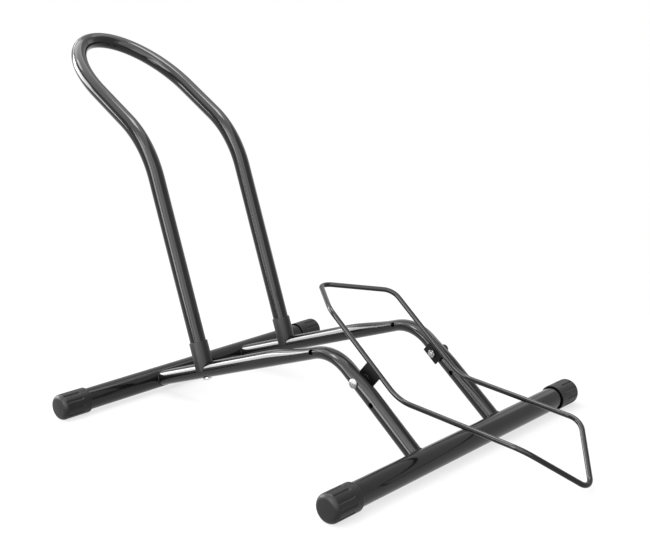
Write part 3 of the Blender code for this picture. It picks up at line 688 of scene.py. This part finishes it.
def cope_station(row, height):
    """How far along the tube a line of its surface meets the base tube."""
    end, inward = (0.0, 1) if row == "rear" else (SIDE_LENGTH, -1)
    forward, up, slope = side_line(end)
    axis = Vector((forward - BASE_FORWARD[row], up))
    along = Vector((math.cos(slope), math.sin(slope))) * inward
    foot = axis + Vector((-math.sin(slope), math.cos(slope))) * height
    reach = BASE_RADIUS + SEAT_GAP
    travel = math.sqrt(max(foot.dot(along) ** 2 - foot.length_squared + reach * reach, 0))
    return end + inward * (travel - foot.dot(along))


def skin_point(station, across, height):
    """A point across and out from the axis, at a station along it."""
    forward, up, slope = side_line(station)
    return side_view(forward - math.sin(slope) * height, up + math.cos(slope) * height, across)


def side_rings(body, inset):
    """Rings of vertices from the rear cope to the front cope."""
    rings = []
    for index in range(SIDE_STATIONS + 1):
        points = []
        for step in range(SIDE_FACETS):
            angle = 2 * math.pi * (step + 0.5) / SIDE_FACETS
            height = ring_offset(0.0, angle, inset)[1]
            start, stop = (cope_station(row, height) for row in BASE_FORWARD)
            station = start + (stop - start) * (index / SIDE_STATIONS)
            offset = ring_offset(station, angle, inset)
            points.append(body.verts.new(skin_point(station, *offset)))
        rings.append(points)
    return rings


def side_blank(name, place):
    """Outer skin and bore of a side tube, joined at both copes."""
    body = bmesh.new()
    outer, inner = side_rings(body, 0.0), side_rings(body, SIDE_WALL)
    for rings in (outer, inner):
        for near, far in zip(rings, rings[1:]):
            join_rings(body, near, far)
    for end in (0, -1):
        join_rings(body, outer[end], inner[end])
    return baked(from_bmesh(name, body, place))


# %% Holes in the side tubes
BOLT_RADIUS = 0.003
HOLE_RADIUS = 0.0033
PUNCH_CORNER = 0.0014
PIVOT_FROM_CORNER = 0.058
LOWER_HOLE_FROM_PIVOT = 0.037
UPPER_HOLE_INTO_BEND = 0.005
PIVOT_STATION = REAR_RUN + BEND_LENGTH + PIVOT_FROM_CORNER - BEND_TANGENT
PIVOT_FORWARD, PIVOT_UP, PIVOT_SLOPE = side_line(PIVOT_STATION)
HOOP_FORWARD = 0.110
HOOP_STATION = HOOP_FORWARD / math.cos(SIDE_RISE)
CUTTER_REACH = 0.0225


def leg_point(distance, x):
    """A point on a hoop leg's axis, at a distance square to the side tube's axis."""
    return skin_point(HOOP_STATION, x, distance)


def leg_place(sign, distance):
    foot = REAR_AXIS + leg_point(distance, sign * HALF_SPACING)
    return place_on(foot, leg_point(1, 0) - leg_point(0, 0))


def punch(size, place):
    """A square punch with its long edges rounded, as punches are ground."""
    body = box_body(size)
    long_edges = [edge for edge in body.edges
                  if abs(edge.verts[0].co.x - edge.verts[1].co.x) > size[0] / 2]
    bmesh.ops.bevel(body, geom=long_edges, offset=PUNCH_CORNER, segments=5, profile=0.5,
                    affect="EDGES")
    return baked(from_bmesh("square_hole", body, place))


def hole_cutters(sign):
    """Each cross hole is square on the outside of the stand and round on the inside."""
    cutters = []
    stations = (REAR_RUN + UPPER_HOLE_INTO_BEND, PIVOT_STATION,
                PIVOT_STATION + LOWER_HOLE_FROM_PIVOT)
    for station in stations:
        forward, up, slope = side_line(station)
        centre = REAR_AXIS + side_view(forward, up, sign * HALF_SPACING)
        step = Vector((sign * CUTTER_REACH / 2, 0, 0))
        square = Matrix.Translation(centre + step) @ Matrix.Rotation(-slope, 4, "X")
        cutters.append(punch((CUTTER_REACH, 2 * HOLE_RADIUS, 2 * HOLE_RADIUS), square))
        cutters.append(rod("round_hole", HOLE_RADIUS, CUTTER_REACH,
                           place_on(centre - step, (1, 0, 0))))
    cutters.append(rod("bolt_hole", HOLE_RADIUS, 2 * CUTTER_REACH, leg_place(sign, 0)))
    return cutters


for side, sign in SIDES.items():
    place = Matrix.Translation(REAR_AXIS + Vector((sign * HALF_SPACING, 0, 0)))
    tube = cut(side_blank("bent_tube_" + side, place), *hole_cutters(sign))
    finish(tube, PAINT, "frame", "side_tube_" + side, sharp=50)
    print(tube.name, len(tube.data.polygons), "faces")

# %% [markdown]
# ## Welds
# A welded joint shows as a small bead in the corner, laid down in overlapping drops. The bead
# follows the saddle line of the cope. One tree lays it: a thin bar along the line, and a
# squashed drop at even steps on it. Both repeat and follow a path, which is what instances on
# a curve are for. The drops stay small because the paint has nearly filled them.

# %% The weld tree
WELD_FACETS = 12
DROP_RINGS = 8
DROP_SQUASH = 0.55


def weld_tree():
    tree, given = new_tree("weld_along_path", "Weld", {
        "Path": "Geometry", "Radius": "Float", "Drop Spacing": "Float", "Drop Size": "Float",
        "Material": "Material"})
    drops = tree.nodes.new("GeometryNodeCurveToPoints")
    drops.mode = "LENGTH"
    feed(tree, drops, {"Curve": given["Path"], "Length": given["Drop Spacing"]})
    ball = add(tree, "GeometryNodeMeshUVSphere", {
        "Radius": given["Drop Size"], "Segments": WELD_FACETS, "Rings": DROP_RINGS})
    laid = add(tree, "GeometryNodeInstanceOnPoints", {
        "Points": drops.outputs["Points"], "Rotation": drops.outputs["Rotation"],
        "Scale": (1.0, 1.0, DROP_SQUASH), "Instance": ball.outputs["Mesh"]})
    both = add(tree, "GeometryNodeJoinGeometry", {"Geometry": bar(tree, given, WELD_FACETS)})
    feed(tree, both, {"Geometry": laid.outputs["Instances"]})
    return end_tree(tree, both.outputs["Geometry"], given)


WELD_TREE = weld_tree()
WELD_RADIUS = 0.0007
WELD_SPACING = 0.0013
WELD_DROP = 0.0009
WELD_POINTS = 72


def lay_weld(curve, radius, spacing, drop):
    return run_tree(curve, WELD_TREE, Radius=radius, Material=WELD_PAINT,
                    **{"Drop Spacing": spacing, "Drop Size": drop})


def saddle_line(row, sign):
    """The line where a side tube's surface comes down on its base tube."""
    points = []
    for step in range(WELD_POINTS):
        across, height = ring_offset(0.0, 2 * math.pi * step / WELD_POINTS, 0.0)
        station = cope_station(row, height)
        points.append(skin_point(station, sign * HALF_SPACING + across, height))
    return points


for row in BASE_FORWARD:
    for side, sign in SIDES.items():
        points = [REAR_AXIS + point for point in saddle_line(row, sign)]
        weld = path_curve(f"weld_{row}_{side}", points, closed=True)
        weld = lay_weld(weld, WELD_RADIUS, WELD_SPACING, WELD_DROP)
        finish(weld, WELD_PAINT, "frame")
        print(weld.name, len(weld.data.polygons), "faces")

# %% [markdown]
# ## Support hoop
# One tube goes up, leans back and comes down again. The legs are straight runs with one
# large bend each, and the arch is half an ellipse in the leaning plane, which is close to
# what a bender's roller leaves. It goes through the tube tree in one piece.

# %% Support hoop
HOOP_RADIUS = 0.012
HOOP_WALL = 0.0015
HOOP_LEG_LENGTH = 0.346
HOOP_LEAN = math.radians(57.6)
HOOP_BEND_RADIUS = 0.156
HOOP_TOP_LENGTH = 0.129
HOOP_ARCH_HEIGHT = 0.136
SLEEVE_SADDLE = 0.003
LEG_END = SIDE_RADIUS + SEAT_GAP + SLEEVE_SADDLE + SEAT_GAP
ARCH_STEPS = 96


def top_point(distance, x):
    """A point on the part of the hoop that leans back, counted from its bend."""
    lean = side_view(-math.sin(HOOP_LEAN), math.cos(HOOP_LEAN))
    return leg_point(HOOP_LEG_LENGTH, x) + lean * distance


def hoop_line():
    """Up the left leg, round the arch and down the right leg."""
    legs = []
    for x in (-HALF_SPACING, HALF_SPACING):
        corners = [leg_point(LEG_END, x), leg_point(HOOP_LEG_LENGTH, x),
                   top_point(HOOP_TOP_LENGTH, x)]
        legs.append(rounded_path(corners, [0, HOOP_BEND_RADIUS, 0])[:-1])
    arch = []
    for step in range(ARCH_STEPS + 1):
        angle = math.pi * step / ARCH_STEPS
        arch.append(top_point(HOOP_TOP_LENGTH + HOOP_ARCH_HEIGHT * math.sin(angle),
                              -HALF_SPACING * math.cos(angle)))
    return legs[0] + arch + legs[1][::-1]


hoop = swept("hoop_tube", hoop_line(), HOOP_RADIUS, PAINT, facets=64, wall=HOOP_WALL)
finish(hoop, PAINT, "frame", "support_hoop", sharp=60)
print(hoop.name, len(hoop.data.polygons), "faces")

# %% [markdown]
# ## Saddle sleeves
# A plastic sleeve closes each foot of the hoop and straddles the side tube, so that paint
# doesn't rub on paint. It is a turned blank cut by the two tubes it touches, which gives the
# saddle its true curve. A small rounding softens its upper edge.

# %% Saddle sleeves
SLEEVE_RADIUS = 0.0138
SLEEVE_BORE = 0.0123
SLEEVE_HEIGHT = 0.0435
SLEEVE_EDGE = 0.0006


def saddle_sleeve(side):
    """A turned blank, cut by the hoop's leg, the side tube and the bolt."""
    sign = SIDES[side]
    middle = SLEEVE_EDGE * EDGE_SHARE
    profile = [(0, SLEEVE_HEIGHT), (SLEEVE_RADIUS - SLEEVE_EDGE, SLEEVE_HEIGHT),
               (SLEEVE_RADIUS - middle, SLEEVE_HEIGHT - middle),
               (SLEEVE_RADIUS, SLEEVE_HEIGHT - SLEEVE_EDGE), (SLEEVE_RADIUS, 0), (0, 0)]
    sleeve = baked(turned("sleeve_" + side, profile, leg_place(sign, 0), 96))
    bore_middle = LEG_END - SEAT_GAP + SLEEVE_HEIGHT / 2
    across = leg_place(sign, 0) @ Matrix.Rotation(math.pi / 2, 4, "X")
    return cut(sleeve,
               rod("bore", SLEEVE_BORE, SLEEVE_HEIGHT, leg_place(sign, bore_middle), 96),
               rod("saddle", SIDE_RADIUS + SEAT_GAP, 4 * SLEEVE_RADIUS, across, 96),
               rod("bolt_hole", HOLE_RADIUS, 2 * SLEEVE_HEIGHT, leg_place(sign, 0)))


for side in SIDES:
    sleeve = saddle_sleeve(side)
    finish(sleeve, PLASTIC, "frame", "hoop_sleeve_" + side, slot="plastic")
    print(sleeve.name, len(sleeve.data.polygons), "faces")

# %% [markdown]
# ## Bolts, nuts and washers
# The fasteners are the bright spots of the stand. Each is turned, and what isn't round about
# its axis is cut or joined afterwards: the square neck of the cup-head bolt, the hexagon of
# the nut and the key socket of the button head. Domes get many steps, because bright metal
# shows every facet.

# %% Turned fasteners
CUP_RADIUS = 0.0067
CUP_HEIGHT = 0.0036
BUTTON_RADIUS = 0.0067
BUTTON_HEIGHT = 0.0034
SOCKET_SIZE = 0.004
SOCKET_DEPTH = 0.002
NUT_FLATS = 0.010
NUT_HEIGHT = 0.0032
WASHER_RADIUS = 0.00625
WASHER_THICKNESS = 0.0015
DOME_STEPS = 14
DOME_RIM = 0.0004
SHANK_CHAMFER = 0.0006
NECK_LENGTH = 0.0026
NECK_SINK = 0.0003
CORNER_FREE = 0.0005
SHOULDER_DROP = 0.0003
THREAD_REACH = 0.01
BUTTON_RISE = 0.0032
WASHER_EDGE = 0.00015


def dome_profile(radius, height, length):
    """A dome with a small rim, over a chamfered shank."""
    profile = []
    for step in range(DOME_STEPS + 1):
        angle = math.pi / 2 * step / DOME_STEPS
        profile.append((radius * math.sin(angle),
                        DOME_RIM + (height - DOME_RIM) * math.cos(angle)))
    return profile + [(radius, 0), (BOLT_RADIUS, 0), (BOLT_RADIUS, SHANK_CHAMFER - length),
                      (BOLT_RADIUS - SHANK_CHAMFER, -length), (0, -length)]


def hexagon(name, flats, height, place):
    corner = flats / 2 / math.cos(math.pi / 6)
    return rod(name, corner, height, place @ Matrix.Rotation(math.pi / 2, 4, "Z"), 6)


PIVOT_POINT = REAR_AXIS + side_view(PIVOT_FORWARD, PIVOT_UP)


def pivot_place(side, x):
    sign = SIDES[side]
    return place_on(PIVOT_POINT + Vector((sign * x, 0, 0)), (sign, 0, 0))


bolt_low, bolt_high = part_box("pivot_bolt_right")
nut_low, nut_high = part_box("pivot_nut_right")
washer_low, washer_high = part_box("pivot_washer_right")
HEAD_SEAT = bolt_high[0] - CUP_HEIGHT
BOLT_END = bolt_low[0]
NUT_MIDDLE = (nut_low[0] + nut_high[0]) / 2
WASHER_MIDDLE = (washer_low[0] + washer_high[0]) / 2


def cup_bolt(side):
    """The square neck under the head keeps the bolt from turning in its square hole."""
    bolt = baked(turned("cup_bolt_" + side, dome_profile(CUP_RADIUS, CUP_HEIGHT,
                                                         HEAD_SEAT - BOLT_END),
                        pivot_place(side, HEAD_SEAT)))
    middle = PIVOT_POINT + Vector((SIDES[side] * (HEAD_SEAT - NECK_SINK), 0, 0))
    neck = Matrix.Translation(middle) @ Matrix.Rotation(-PIVOT_SLOPE, 4, "X")
    return cut(bolt, box("neck", (NECK_LENGTH, 2 * BOLT_RADIUS, 2 * BOLT_RADIUS), neck),
               operation="UNION")


def thin_nut(side):
    """A hexagon with its corners turned off at both ends, as a real nut's are."""
    place = pivot_place(side, NUT_MIDDLE)
    flat, half = NUT_FLATS / 2, NUT_HEIGHT / 2
    corner = flat / math.cos(math.pi / 6)
    shoulder = half - (corner - flat) / math.tan(math.pi / 3) - SHOULDER_DROP
    wide = corner + CORNER_FREE
    profile = [(0, half), (flat, half), (wide, shoulder), (wide, -shoulder), (flat, -half),
               (0, -half)]
    nut = cut(hexagon("thin_nut_" + side, NUT_FLATS, NUT_HEIGHT, place),
              baked(turned("corners", profile, place)), operation="INTERSECT")
    return cut(nut, rod("thread", HOLE_RADIUS, THREAD_REACH, place))


def button_bolt(side):
    """The bolt that holds the hoop, put in from below, with a socket for a key."""
    seat = -(SIDE_RADIUS + SEAT_GAP)
    place = leg_place(SIDES[side], seat) @ Matrix.Rotation(math.pi, 4, "X")
    low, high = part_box("hoop_bolt_" + side)
    reach = (high[2] - low[2]) / math.cos(SIDE_RISE) - BUTTON_HEIGHT - BUTTON_RISE
    bolt = baked(turned("button_bolt_" + side, dome_profile(BUTTON_RADIUS, BUTTON_HEIGHT, reach),
                        place))
    socket = place @ Matrix.Translation((0, 0, BUTTON_HEIGHT))
    return cut(bolt, hexagon("socket", SOCKET_SIZE, 2 * SOCKET_DEPTH, socket))


def spacer(side):
    half, edge = WASHER_THICKNESS / 2, WASHER_EDGE
    profile = [(HOLE_RADIUS, half), (WASHER_RADIUS - edge, half), (WASHER_RADIUS, half - edge),
               (WASHER_RADIUS, edge - half), (WASHER_RADIUS - edge, -half), (HOLE_RADIUS, -half),
               (HOLE_RADIUS, half)]
    return baked(turned("spacer_washer_" + side, profile, pivot_place(side, WASHER_MIDDLE)))


for side in SIDES:
    # The pivot bolt and nut take the zinc painted darker (painted shade), and the hoop bolt
    # takes the zinc painted lighter (painted highlight).
    finish(cup_bolt(side), ZINC_PAINTED_DARKER, "frame", "pivot_bolt_" + side, slot="zinc")
    finish(thin_nut(side), ZINC_PAINTED_DARKER, "frame", "pivot_nut_" + side, slot="zinc", sharp=25)
    finish(button_bolt(side), ZINC_PAINTED_LIGHTER, "frame", "hoop_bolt_" + side, slot="zinc")
    # The spacer washer is painted near black, as painted shade of the gap it sits in.
    finish(spacer(side), WASHER_PAINTED_SHADE, "frame", "pivot_washer_" + side, slot="zinc")
    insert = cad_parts["leg_insert_" + side]
    insert.data.materials.clear()
    insert.data.materials.append(ZINC_PAINTED_DARKER)
print("fasteners made for", list(SIDES))

# %% [markdown]
# ## Wheel cradle
# The cradle is one loop of 7 mm wire with a V at each end. Its corners are given in the side
# view from the pivot, left and right mirrored, and the tube tree sweeps it as a closed loop.
# It rides on its own body, because it is the one thing on this stand that moves.

# %% Cradle wire
WIRE_RADIUS = 0.0035
WIRE_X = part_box("wheel_cradle")[1][0] - WIRE_RADIUS
UPPER_APEX, UPPER_BEND = (-0.1460, 0.0908), (-0.0678, 0.0809)
MIDDLE_BEND, LOWER_BEND = (0.0493, -0.0199), (0.2365, -0.0393)
LOWER_APEX = (0.2922, -0.0957)
APEX_RADIUS, UPPER_RADIUS, MIDDLE_RADIUS, LOWER_RADIUS = 0.0147, 0.030, 0.062, 0.032


def cradle_line():
    """The closed loop, which starts half way along the left leg."""
    upper, middle, lower = ([side_view(*bend, x) for x in (-WIRE_X, WIRE_X)]
                            for bend in (UPPER_BEND, MIDDLE_BEND, LOWER_BEND))
    corners = [(upper[0] + middle[0]) / 2, middle[0], lower[0], side_view(*LOWER_APEX),
               lower[1], middle[1], upper[1], side_view(*UPPER_APEX), upper[0]]
    radii = [0, MIDDLE_RADIUS, LOWER_RADIUS, APEX_RADIUS, LOWER_RADIUS, MIDDLE_RADIUS,
             UPPER_RADIUS, APEX_RADIUS, UPPER_RADIUS]
    pivot = side_view(PIVOT_FORWARD, PIVOT_UP)
    return [pivot + point for point in rounded_path(corners, radii)]


wire = swept("cradle_wire", cradle_line(), WIRE_RADIUS, PAINT, closed=True, facets=40)
finish(wire, PAINT, "cradle", "wheel_cradle", sharp=60)
print(wire.name, len(wire.data.polygons), "faces")

# %% [markdown]
# ## Pivot brackets
# A square plate is welded flat against the outside of the wire on each side, and the pivot
# bolt goes through it. The plate is a flat box with a fine bevel that catches light on its
# edges, and its weld comes from the same tree as the others.

# %% Pivot brackets
PLATE_THICKNESS = 0.0025
PLATE_LENGTH = 0.0275
PLATE_BELOW = 0.008
PLATE_ABOVE_WIRE = 0.001
PLATE_EDGE = 0.0003
PLATE_WELD_RADIUS = 0.0011
PLATE_WELD_SPACING = 0.0016
PLATE_WELD_DROP = 0.0013
PLATE_WELD_SINK = 0.0006
PLATE_WELD_STOP = 0.002

upper_end, middle_end = side_view(*UPPER_BEND), side_view(*MIDDLE_BEND)
ALONG = (middle_end - upper_end).normalized()
OUT = ALONG.cross(Vector((1, 0, 0)))
WIRE_OUT = upper_end.dot(OUT)
PLATE_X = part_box("pivot_bracket_right")[1][0] - PLATE_THICKNESS / 2


def bracket(side):
    top = WIRE_OUT + PLATE_ABOVE_WIRE
    place = Matrix((ALONG, OUT, ALONG.cross(OUT))).transposed().to_4x4()
    place.translation = PIVOT_POINT + Vector((SIDES[side] * PLATE_X, 0, 0))
    middle = Matrix.Translation((0, (top - PLATE_BELOW) / 2, 0))
    plate = box("bracket_plate_" + side, (PLATE_LENGTH, top + PLATE_BELOW, PLATE_THICKNESS),
                place @ middle)
    edge = plate.modifiers.new("edge", "BEVEL")
    edge.width = PLATE_EDGE
    edge.segments = 3
    plate = baked(plate)
    return cut(plate, rod("pivot_hole", HOLE_RADIUS, 8 * PLATE_THICKNESS,
                          pivot_place(side, PLATE_X)))


def bracket_weld(side):
    """A straight bead in the corner between the wire and the inside of the plate."""
    x = SIDES[side] * (PLATE_X - PLATE_THICKNESS / 2 - SEAT_GAP)
    below = WIRE_OUT - WIRE_RADIUS - PLATE_WELD_SINK
    middle = PIVOT_POINT + OUT * below + Vector((x, 0, 0))
    reach = PLATE_LENGTH / 2 - PLATE_WELD_STOP
    curve = path_curve("weld_plate_" + side, [middle - ALONG * reach, middle + ALONG * reach])
    return lay_weld(curve, PLATE_WELD_RADIUS, PLATE_WELD_SPACING, PLATE_WELD_DROP)


for side in SIDES:
    finish(bracket(side), PLATE_PAINT, "cradle", "pivot_bracket_" + side, sharp=30)
    finish(bracket_weld(side), WELD_PAINT, "cradle")
print("plate seats at x", round(PLATE_X, 5), "wire at x", round(WIRE_X, 5))

# %% [markdown]
# ## Floor and light
# Gloss black shows hardly any colour of its own: it is drawn by what it mirrors. One big soft
# lamp would grey the tubes all over, so the lamps are plain panels, each set where a band of
# light on the tubes calls for one, and dark gaps are left between them. The floor and the
# world are white to the camera, to reflections and through clear things, by Light Path, so
# that no extra light falls on the stand. The floor is dull paper with a low colour, which
# still takes the stand's soft shadow and is plain white further out.

# %% Floor
PAPER_ALBEDO = 0.16
PAPER_GLOW = 0.7
PAPER_NEAR = 0.5
PAPER_FAR = 1.1
AMBIENT = 0.12
FLOOR_HALF_SIZE = 30.0
FLOOR_DROP = 0.0002


def seen_directly(tree):
    """1 for camera, glossy and transmission rays, 0 for the light that bounces."""
    path = add(tree, "ShaderNodeLightPath").outputs
    mirrored = math_node(tree, "MAXIMUM", path["Is Glossy Ray"], path["Is Transmission Ray"])
    return math_node(tree, "MAXIMUM", path["Is Camera Ray"], mirrored)


def floor_material():
    """White paper: it takes the stand's shadow near it and is plain white further out."""
    material, tree, shader = new_material("pale_floor")
    distance = tree.nodes.new("ShaderNodeVectorMath")
    distance.operation = "LENGTH"
    feed(tree, distance, {0: coordinates(tree)})
    far = eased(tree, distance.outputs["Value"], PAPER_NEAR, PAPER_FAR)
    glow = math_node(tree, "MULTIPLY_ADD", far, 1.0 - PAPER_GLOW, PAPER_GLOW)
    feed(tree, shader, {
        "Base Color": ramp(tree, far, (0.0, grey(PAPER_ALBEDO)), (1.0, grey(0.0))),
        "Roughness": 0.9, "Specular IOR Level": 0.0, "Emission Color": (1, 1, 1, 1),
        "Emission Strength": math_node(tree, "MULTIPLY", seen_directly(tree), glow)})
    return material


floor_body = bmesh.new()
bmesh.ops.create_grid(floor_body, x_segments=1, y_segments=1, size=FLOOR_HALF_SIZE)
floor = from_bmesh("studio_floor", floor_body)
floor.location.z = MODEL_BOX[0][2] - FLOOR_DROP
floor.data.materials.append(floor_material())

world = bpy.data.worlds.new("studio_world")
scene.world = world
world.use_nodes = True
world_tree = world.node_tree
share = math_node(world_tree, "MULTIPLY", seen_directly(world_tree), 1.0 - AMBIENT)
feed(world_tree, world_tree.nodes["Background"], {
    "Color": (1, 1, 1, 1), "Strength": math_node(world_tree, "ADD", share, AMBIENT)})
print("floor at", round(floor.location.z, 5))

# %% [markdown]
# ## Lamps
# Each panel is named for where it stands and the band that it makes. The key stands low behind
# the left end and gives the white band along the side tubes, and its flank and tail let that
# band fade out. The panels on the left make the broad grey band down the hoop's legs and its
# bright edge, the top ones light the upper sides, and the small spots draw the thin streaks on
# the hoop and the wire. The strengths come from rendering each lamp alone and adding these
# pictures up until the tubes' greys agreed with the photo's.

# %% Lamps
AIM = Vector((0.0, 0.0, 0.2))


def panel(name, azimuth, elevation, distance, width, height, radiance):
    """A rectangular lamp that faces the stand. Azimuth 0 is behind it and 90 to its right."""
    azimuth, elevation = math.radians(azimuth), math.radians(elevation)
    towards = Vector((math.sin(azimuth) * math.cos(elevation),
                      math.cos(azimuth) * math.cos(elevation), math.sin(elevation)))
    lamp = bpy.data.lights.new(name, "AREA")
    lamp.shape = "RECTANGLE"
    lamp.size, lamp.size_y = width, height
    lamp.energy = radiance * math.pi * width * height
    obj = link(name, lamp)
    obj.location = AIM + towards * distance
    obj.rotation_mode = "QUATERNION"
    obj.rotation_quaternion = towards.to_track_quat("Z", "Y")
    obj.visible_camera = False


LAMPS = (
    # name, azimuth, elevation, distance, width, height, radiance
    ("key_panel", -29, 15, 3.0, 1.75, 1.25, 14.0),
    ("key_flank", -9, 17, 3.05, 0.6, 1.1, 18.0),
    ("key_tail", 6, 27, 3.1, 1.3, 0.3, 4.5),
    ("back_panel", 4, 42, 2.8, 1.7, 1.0, 1.2),
    ("back_spot", -20, 48, 2.6, 0.5, 0.5, 8.0),
    ("top_panel", -35, 80, 1.9, 3.2, 3.0, 2.5),
    ("top_spot", 31, 82, 1.41, 0.42, 0.42, 13.5),
    ("right_panel", 88, 14, 2.7, 0.9, 2.2, 0.8),
    ("left_panel", -131, 26, 2.3, 2.76, 2.4, 2.9),
    ("left_tail", -167, 26, 2.3, 0.65, 2.4, 0.9),
    ("left_fill", -113, 20, 2.4, 1.2, 2.3, 1.7),
    ("left_edge", -83, 14, 2.5, 0.84, 2.2, 11.0),
    ("left_spot", -100, 48, 2.6, 0.6, 0.6, 4.0),
)
for lamp_row in LAMPS:
    panel(*lamp_row)

# %% [markdown]
# ## Camera
# The camera stands where the photographer's did: in front of the stand and to its left, a
# little above it. Its place and lens come from fitting the tubes' outlines.

# %% Camera
CAMERA_AZIMUTH = math.radians(-48.40)
CAMERA_TILT = math.radians(13.41)
CAMERA_ROLL = math.radians(-0.24)
CAMERA_SENSOR = 36.0
CAMERA_LENS = 62.46
CAMERA_FROM_REAR_AXIS = (-1.1576, -1.2966, 0.5563)

camera_data = bpy.data.cameras.new("photo_camera")
camera_data.sensor_width = CAMERA_SENSOR
camera_data.lens = CAMERA_LENS
camera = link("photo_camera", camera_data)
scene.camera = camera
backward = Vector((math.sin(CAMERA_AZIMUTH) * math.cos(CAMERA_TILT),
                   -math.cos(CAMERA_AZIMUTH) * math.cos(CAMERA_TILT), math.sin(CAMERA_TILT)))
right = Vector((0, 0, 1)).cross(backward).normalized()
up = backward.cross(right)
right, up = (right * math.cos(CAMERA_ROLL) + up * math.sin(CAMERA_ROLL),
             up * math.cos(CAMERA_ROLL) - right * math.sin(CAMERA_ROLL))
camera.matrix_world = Matrix((right, up, backward)).transposed().to_4x4()
camera.location = REAR_AXIS + Vector(CAMERA_FROM_REAR_AXIS)
scene.view_settings.view_transform = "Standard"
print("camera at", tuple(round(value, 3) for value in camera.location))
